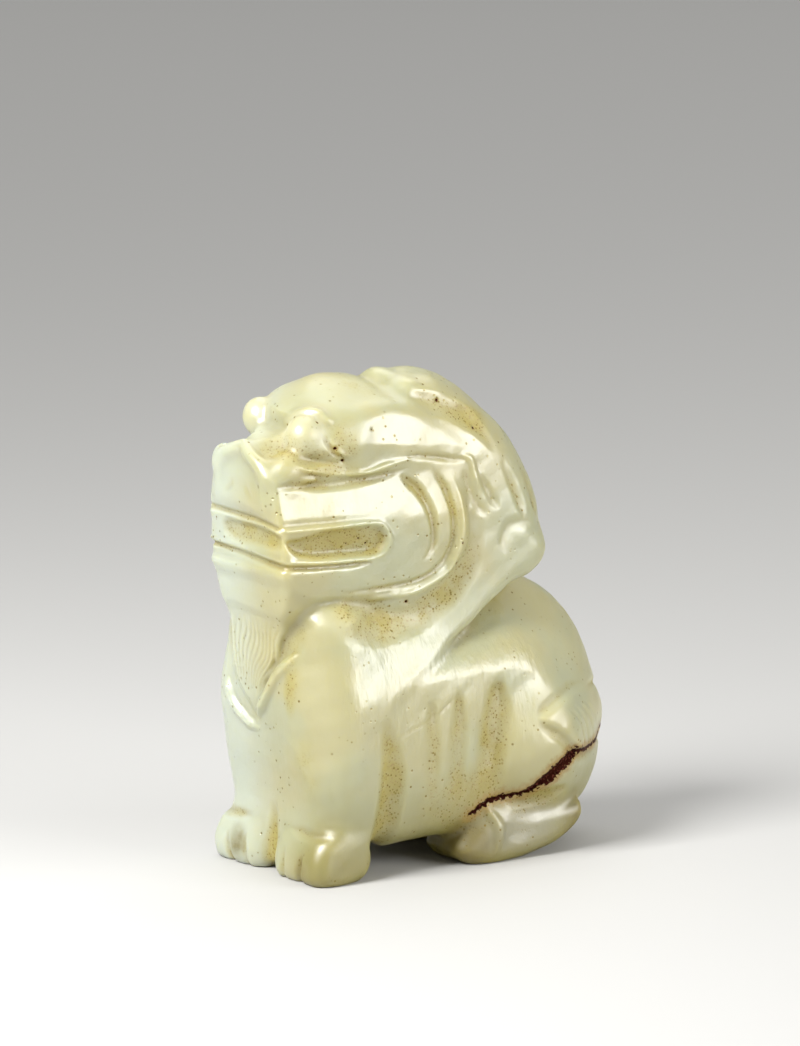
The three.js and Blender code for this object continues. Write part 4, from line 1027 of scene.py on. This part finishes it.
def hollowness(reach):
    """1 at the bottom of a narrow cut, 0 on open ground, seen over a distance in millimetres."""
    return np.clip(1 - stone(settled + outward * reach) / reach, 0, 1)


def mark_points(name, values):
    """Gives every point of the mesh a value, which the stone's colours read by name."""
    layer = carving_mesh.attributes.new(name, "FLOAT", "POINT")
    layer.data.foreach_set("value", values.astype(np.float32))


def stain_near(spots):
    """Where a stain lies: as strong as given in the middle of each spot, fading to its edge."""
    amount = np.zeros(len(settled))
    for middle, reach, strength in spots:
        gap = np.linalg.norm((settled - middle) / reach, axis=1)
        amount = np.maximum(amount, strength * ease(gap, 1, 0.2))
    return amount


x, y, z = settled.T
head_z = leaning_height(x, z)
marked = marks(x, np.abs(x), y, z + head_lean * x * ease(z, 22, 28))
full_mark = 0.35
combed = ease(y, -2.2, -2.8) * ease(z, 14, 17) * ease(z, 27, 24)
tan_spots = [
    ((3, -1, 39), (5, 4.5, 2.8), 1),
    ((5.5, 2.5, 40), (2.5, 2.6, 3.4), 0.8),
    ((5.5, 1, 37.5), (2.5, 6, 1.6), 0.8),
    ((6, 1, 31.3), (3, 6, 1.6), 1),
    ((4, 4.6, 9), (7, 2.2, 9), 0.9),
    ((9, 14, 6), (3, 8, 4.5), 0.9),
    ((9, 21, 5.6), (3, 5.5, 1.8), 1),
    ((4.8, -3, 18.5), (1.3, 1.6, 4.5), 0.8),
    ((6, -2.6, 10), (3.5, 2, 6), 0.4),
    # Under the jaw this tan stain is also painted shade from the jaw's overhang.
    ((6.5, 3, 24.6), (2.5, 5, 2.4), 0.8),
    ((5, 17, 41), (3, 5, 2), 0.8),
    ((2, 6, 44), (4, 5, 3), 0.5),
    ((7, 14, 34), (3, 3, 5), 0.5),
]
toe_spots = [
    ((9, 13.9, 1.6), (5, 3.6, 4.5), 1.3),
    ((9, 26.5, 3), (4, 3, 4), 0.8),
    ((6, -2.5, 1), (1.2, 1.5, 2), 0.8),
    ((-4.5, -2.5, 2), (1.8, 1.5, 2.5), 0.8),
]
dull_spots = [
    ((7.5, -1.5, 13), (4, 3.5, 10), 1),
    ((8, 1, 2.5), (4, 4.5, 4), 1),
    ((-5, -2, 2.5), (4, 3, 3), 0.7),
    ((9, 21.5, 13), (3, 5, 4), 1.5),
    ((7, 25, 19), (6, 6, 6), 0.8),
    ((7.5, 14, 24.5), (3, 5, 4), 1.2),
    ((6, 20, 35), (3, 4, 6), 0.5),
    ((7.5, 1.5, 24), (3, 4, 3), 1),
    ((2.2, -1.6, 40.4), (2, 2, 2), 1.5),
]
ashen_spots = [((9, 19.5, 3), (4, 6.5, 3.2), 1)]

# The combed beard holds less dirt than other cuts do.
mark_points("narrow_hollow", hollowness(0.5) * (1 - 0.7 * combed))
mark_points("wide_hollow", hollowness(1.8))
mark_points("ground_away", np.clip(marked / full_mark, 0, 1) * (1 - 0.8 * combed))
mark_points("tan_stain", stain_near(tan_spots))
mark_points("brown_stain", stain_near(toe_spots))
mark_points("dull", stain_near(dull_spots))
mark_points("ashen", stain_near(ashen_spots))

# The top of each eyeball is milky. The right of the chest is mint, partly as painted sheen, and
# painted shade darkens the stone towards the feet.
mark_points("eye_dome", ease(eyeball(np.abs(x), y, head_z), 0.9, 0.0) * ease(head_z, 38.6, 40.6))
mark_points("mint_and_sheen", ease(-x + 0.35 * (1 - y), -1.5, 6) * ease(y, 8, 0))
mark_points("rubbed", ease(np.abs(z - 17.5), 8, 4) * ease(y, -2, 2) * ease(y, 24, 19))
# Painted shade: the stone darkens towards the table, behind the forelegs and on the left side.
mark_points("low_painted_shade", ease(z, 12, 0) * np.maximum(ease(y, 2, 7), 0.85 * ease(x, 3, 8)))

# Rust spreads from the fissure, and each pit holds a dark grain like those in its crust.
rust_reach = 1.6
flawed = (1 - outside_fissure(y, z) / rust_reach) * ease(z, 16, 13)
for pit_y, pit_z, radius in pit_places:
    flawed = np.maximum(flawed, 1.6 - np.hypot(y - pit_y, head_z - pit_z) / radius)
mark_points("fissure", flawed * ease(x, 1, 3.5))


# The jade. Pale yellow green nephrite, ground and polished until it shines like wax, and a little
# see through: light goes in and comes out again a few millimetres away, yellower.
jade = bpy.data.materials.new("jade")
jade.use_nodes = True
nodes = jade.node_tree.nodes
links = jade.node_tree.links
jade_shader = nodes["Principled BSDF"]
place = nodes.new("ShaderNodeTexCoord").outputs["Object"]


def reading(name):
    """What the points of the mesh were told under a name."""
    node = nodes.new("ShaderNodeAttribute")
    node.attribute_name = name
    return node.outputs["Fac"]


def noise(scale, detail=2.0, stretch=None):
    """Cloudy noise of a size set by scale, in bumps a metre, stretched where asked."""
    node = nodes.new("ShaderNodeTexNoise")
    node.inputs["Scale"].default_value = scale
    node.inputs["Detail"].default_value = detail
    source = place
    if stretch is not None:
        turn = nodes.new("ShaderNodeMapping")
        turn.inputs["Rotation"].default_value = stretch[0]
        turn.inputs["Scale"].default_value = stretch[1]
        links.new(place, turn.inputs["Vector"])
        source = turn.outputs["Vector"]
    links.new(source, node.inputs["Vector"])
    return node.outputs["Fac"]


def between(value, low, high, to_low=0.0, to_high=1.0):
    """Stretches a range of a value to another range."""
    node = nodes.new("ShaderNodeMapRange")
    node.interpolation_type = "SMOOTHSTEP"
    node.inputs["From Min"].default_value = low
    node.inputs["From Max"].default_value = high
    node.inputs["To Min"].default_value = to_low
    node.inputs["To Max"].default_value = to_high
    links.new(value, node.inputs["Value"])
    return node.outputs["Result"]


def dots(scale, size):
    """Small round dots, at most one in each cell of a random lattice, 1 inside a dot."""
    node = nodes.new("ShaderNodeTexVoronoi")
    node.inputs["Scale"].default_value = scale
    links.new(place, node.inputs["Vector"])
    return between(node.outputs["Distance"], size, 0.5 * size)


def work_out(operation, *values, clamp=False):
    """A sum done on values, which are numbers or what other nodes give."""
    node = nodes.new("ShaderNodeMath")
    node.operation = operation
    node.use_clamp = clamp
    for socket, value in zip(node.inputs, values):
        if isinstance(value, (int, float)):
            socket.default_value = value
        else:
            links.new(value, socket)
    return node.outputs["Value"]


def times(first, second, clamp=False):
    return work_out("MULTIPLY", first, second, clamp=clamp)


def plus(first, second):
    return work_out("ADD", first, second)


def tint(under, over, amount):
    """Lays a colour over another, as much as amount says."""
    mix = nodes.new("ShaderNodeMix")
    mix.data_type = "RGBA"
    mix.clamp_factor = True
    share, lower, upper = mix.inputs[0], mix.inputs[6], mix.inputs[7]
    links.new(amount, share)
    if isinstance(under, tuple):
        lower.default_value = (*under, 1)
    else:
        links.new(under, lower)
    upper.default_value = (*over, 1)
    return mix.outputs[2]


green_stone = (0.395, 0.366, 0.188)
pale_stone = (0.368, 0.370, 0.222)
# The mint is partly the stone's tint and partly a painted sheen.
mint_stone_and_sheen = (0.47, 0.52, 0.44)
tan_stain = (0.33, 0.265, 0.03)
olive_painted_shade = (0.18, 0.148, 0.0)
ashen_film = (0.27, 0.255, 0.17)
brown_stain = (0.145, 0.11, 0.0)
dust = (0.26, 0.20, 0.05)
milky_eye = (0.44, 0.425, 0.26)
tan_grain = (0.24, 0.15, 0.02)
brown_speck = (0.18, 0.12, 0.0)
rust_halo = (0.24, 0.145, 0.0)
dark_crust = (0.040, 0.009, 0.005)
red_crust = (0.22, 0.07, 0.045)

# Stain gathers in cuts and hollows, thin in some places and thick in others.
cloud = between(noise(420, 4), 0.35, 0.7)
stained = plus(times(reading("tan_stain"), 0.8), times(reading("ground_away"), 0.8))
stained = plus(stained, times(reading("wide_hollow"), 0.3))
stained = times(stained, between(cloud, 0, 1, 0.6, 1.15), clamp=True)
grain = times(between(noise(5200, 2), 0.56, 0.7), between(stained, 0.1, 0.8))

# Specks of dirt sit in the stain, finer ones where it is thick, and a few on the clean stone.
patchy = times(between(noise(330, 3), 0.42, 0.62), between(stained, 0.0, 0.6, 0.15, 1.0))
specks = times(dots(1900, 0.27), between(patchy, 0.35, 0.8))
fine_specks = times(dots(3000, 0.34), between(stained, 0.2, 0.7))
stray_specks = times(dots(1300, 0.19), between(noise(200, 2), 0.47, 0.57))
specks = work_out("MAXIMUM", work_out("MAXIMUM", specks, fine_specks), stray_specks)

# The fissure has a rusty halo, a nearly black crust inside its edge, and red grains in its bed.
flaw = plus(reading("fissure"), between(noise(2000, 3), 0.3, 0.7, -0.11, 0.11))
crusted = between(flaw, 0.89, 0.99)
crust = times(between(noise(3800, 3), 0.56, 0.68), between(flaw, 0.97, 1.05))

colour = tint(green_stone, pale_stone, between(noise(110, 3), 0.4, 0.62))
for layer_colour, amount in [
    # Mint is partly a painted sheen on the right of the chest and the low beard.
    (mint_stone_and_sheen, times(reading("mint_and_sheen"), 0.8)),
    (tan_stain, times(stained, 0.9)),
    # Painted shade, darker towards the table.
    (olive_painted_shade, times(reading("low_painted_shade"), 0.95)),
    (ashen_film, times(reading("ashen"), 0.75)),
    (brown_stain, times(reading("brown_stain"), between(cloud, 0, 1, 0.7, 1.3))),
    (dust, times(reading("narrow_hollow"), 0.7)),
    (milky_eye, times(reading("eye_dome"), 0.8)),
    (tan_grain, times(grain, 0.7)),
    (brown_speck, times(specks, between(noise(700, 2), 0.35, 0.65, 0.3, 0.9))),
    (rust_halo, between(flaw, 0.38, 0.95)),
    (dark_crust, crusted),
    (red_crust, times(crust, 0.8)),
]:
    colour = tint(colour, layer_colour, amount)
links.new(colour, jade_shader.inputs["Base Color"])

# No light goes into metal, so the crust and specks count as partly metal and stay dark.
links.new(work_out("MAXIMUM", crusted, times(specks, 0.6)), jade_shader.inputs["Metallic"])

# The polish is duller where the stone is stained, worn or crusted.
gloss = plus(between(noise(160, 2), 0.35, 0.65, 0.285, 0.32), times(stained, 0.3))
for name, dulling in [
    ("dull", 0.2), ("eye_dome", 0.08), ("low_painted_shade", 0.04), ("rubbed", 0.05), ("brown_stain", 0.2),
]:
    gloss = plus(gloss, times(reading(name), dulling))
links.new(plus(gloss, times(crusted, 0.3)), jade_shader.inputs["Roughness"])

# Long fine scratches run along the back and flanks, and the specks are shallow pits.
scratched = noise(1500, 3, stretch=((0.35, 0.0, 0.0), (1.0, 1.0, 0.2)))
scratched = times(scratched, between(reading("rubbed"), 0, 1, 0.4, 2.6))
height = plus(scratched, times(noise(1400, 3), 0.6))
height = work_out("SUBTRACT", height, times(specks, 0.8))
surface = nodes.new("ShaderNodeBump")
surface.inputs["Strength"].default_value = 0.4
surface.inputs["Distance"].default_value = 0.0001
links.new(height, surface.inputs["Height"])
links.new(surface.outputs["Normal"], jade_shader.inputs["Normal"])
jade_shader.inputs["IOR"].default_value = 1.62
jade_shader.inputs["Specular IOR Level"].default_value = 0.9
jade_shader.inputs["Subsurface Weight"].default_value = 0.8
jade_shader.inputs["Subsurface Radius"].default_value = (1.0, 0.9, 0.5)
jade_shader.inputs["Subsurface Scale"].default_value = 0.0022
carving_mesh.materials.clear()
carving_mesh.materials.append(jade)


# The light. A wide soft box stands at the camera's right and gives the long bright planes, a small
# one hangs close over the front left, and a broad one is fixed under the ceiling, a little behind.
# The room around is pale and even.
camera_right = Vector((math.cos(view_turn), math.sin(view_turn), 0))
camera_up = towards_camera.cross(camera_right)


def soft_box(name, right, up, near, distance, width, height, watts):
    """A lamp with a flat face, in a direction that is given as the camera sees it."""
    towards = (camera_right * right + camera_up * up + towards_camera * near).normalized()
    data = bpy.data.lights.new(name, "AREA")
    data.shape = "RECTANGLE"
    data.size = width
    data.size_y = height
    data.energy = watts
    lamp = bpy.data.objects.new(name, data)
    lamp.location = look_at + towards * distance
    lamp.rotation_euler = towards.to_track_quat("Z", "Y").to_euler()
    bpy.context.scene.collection.objects.link(lamp)


soft_box("side_box", right=0.87, up=0.24, near=0.42, distance=0.8, width=0.62, height=0.37, watts=5.4)
soft_box("front_box", right=-0.53, up=0.56, near=0.6, distance=0.26, width=0.11, height=0.11, watts=1.2)
soft_box("ceiling_box", right=0.1, up=0.95, near=-0.35, distance=2.2, width=1.8, height=1.8, watts=16)
room = bpy.data.worlds.new("room")
room.use_nodes = True
backdrop = room.node_tree.nodes["Background"]
backdrop.inputs["Color"].default_value = (0.82, 0.82, 0.81, 1)
backdrop.inputs["Strength"].default_value = 0.42
bpy.context.scene.world = room
bpy.context.scene.view_settings.view_transform = "Standard"
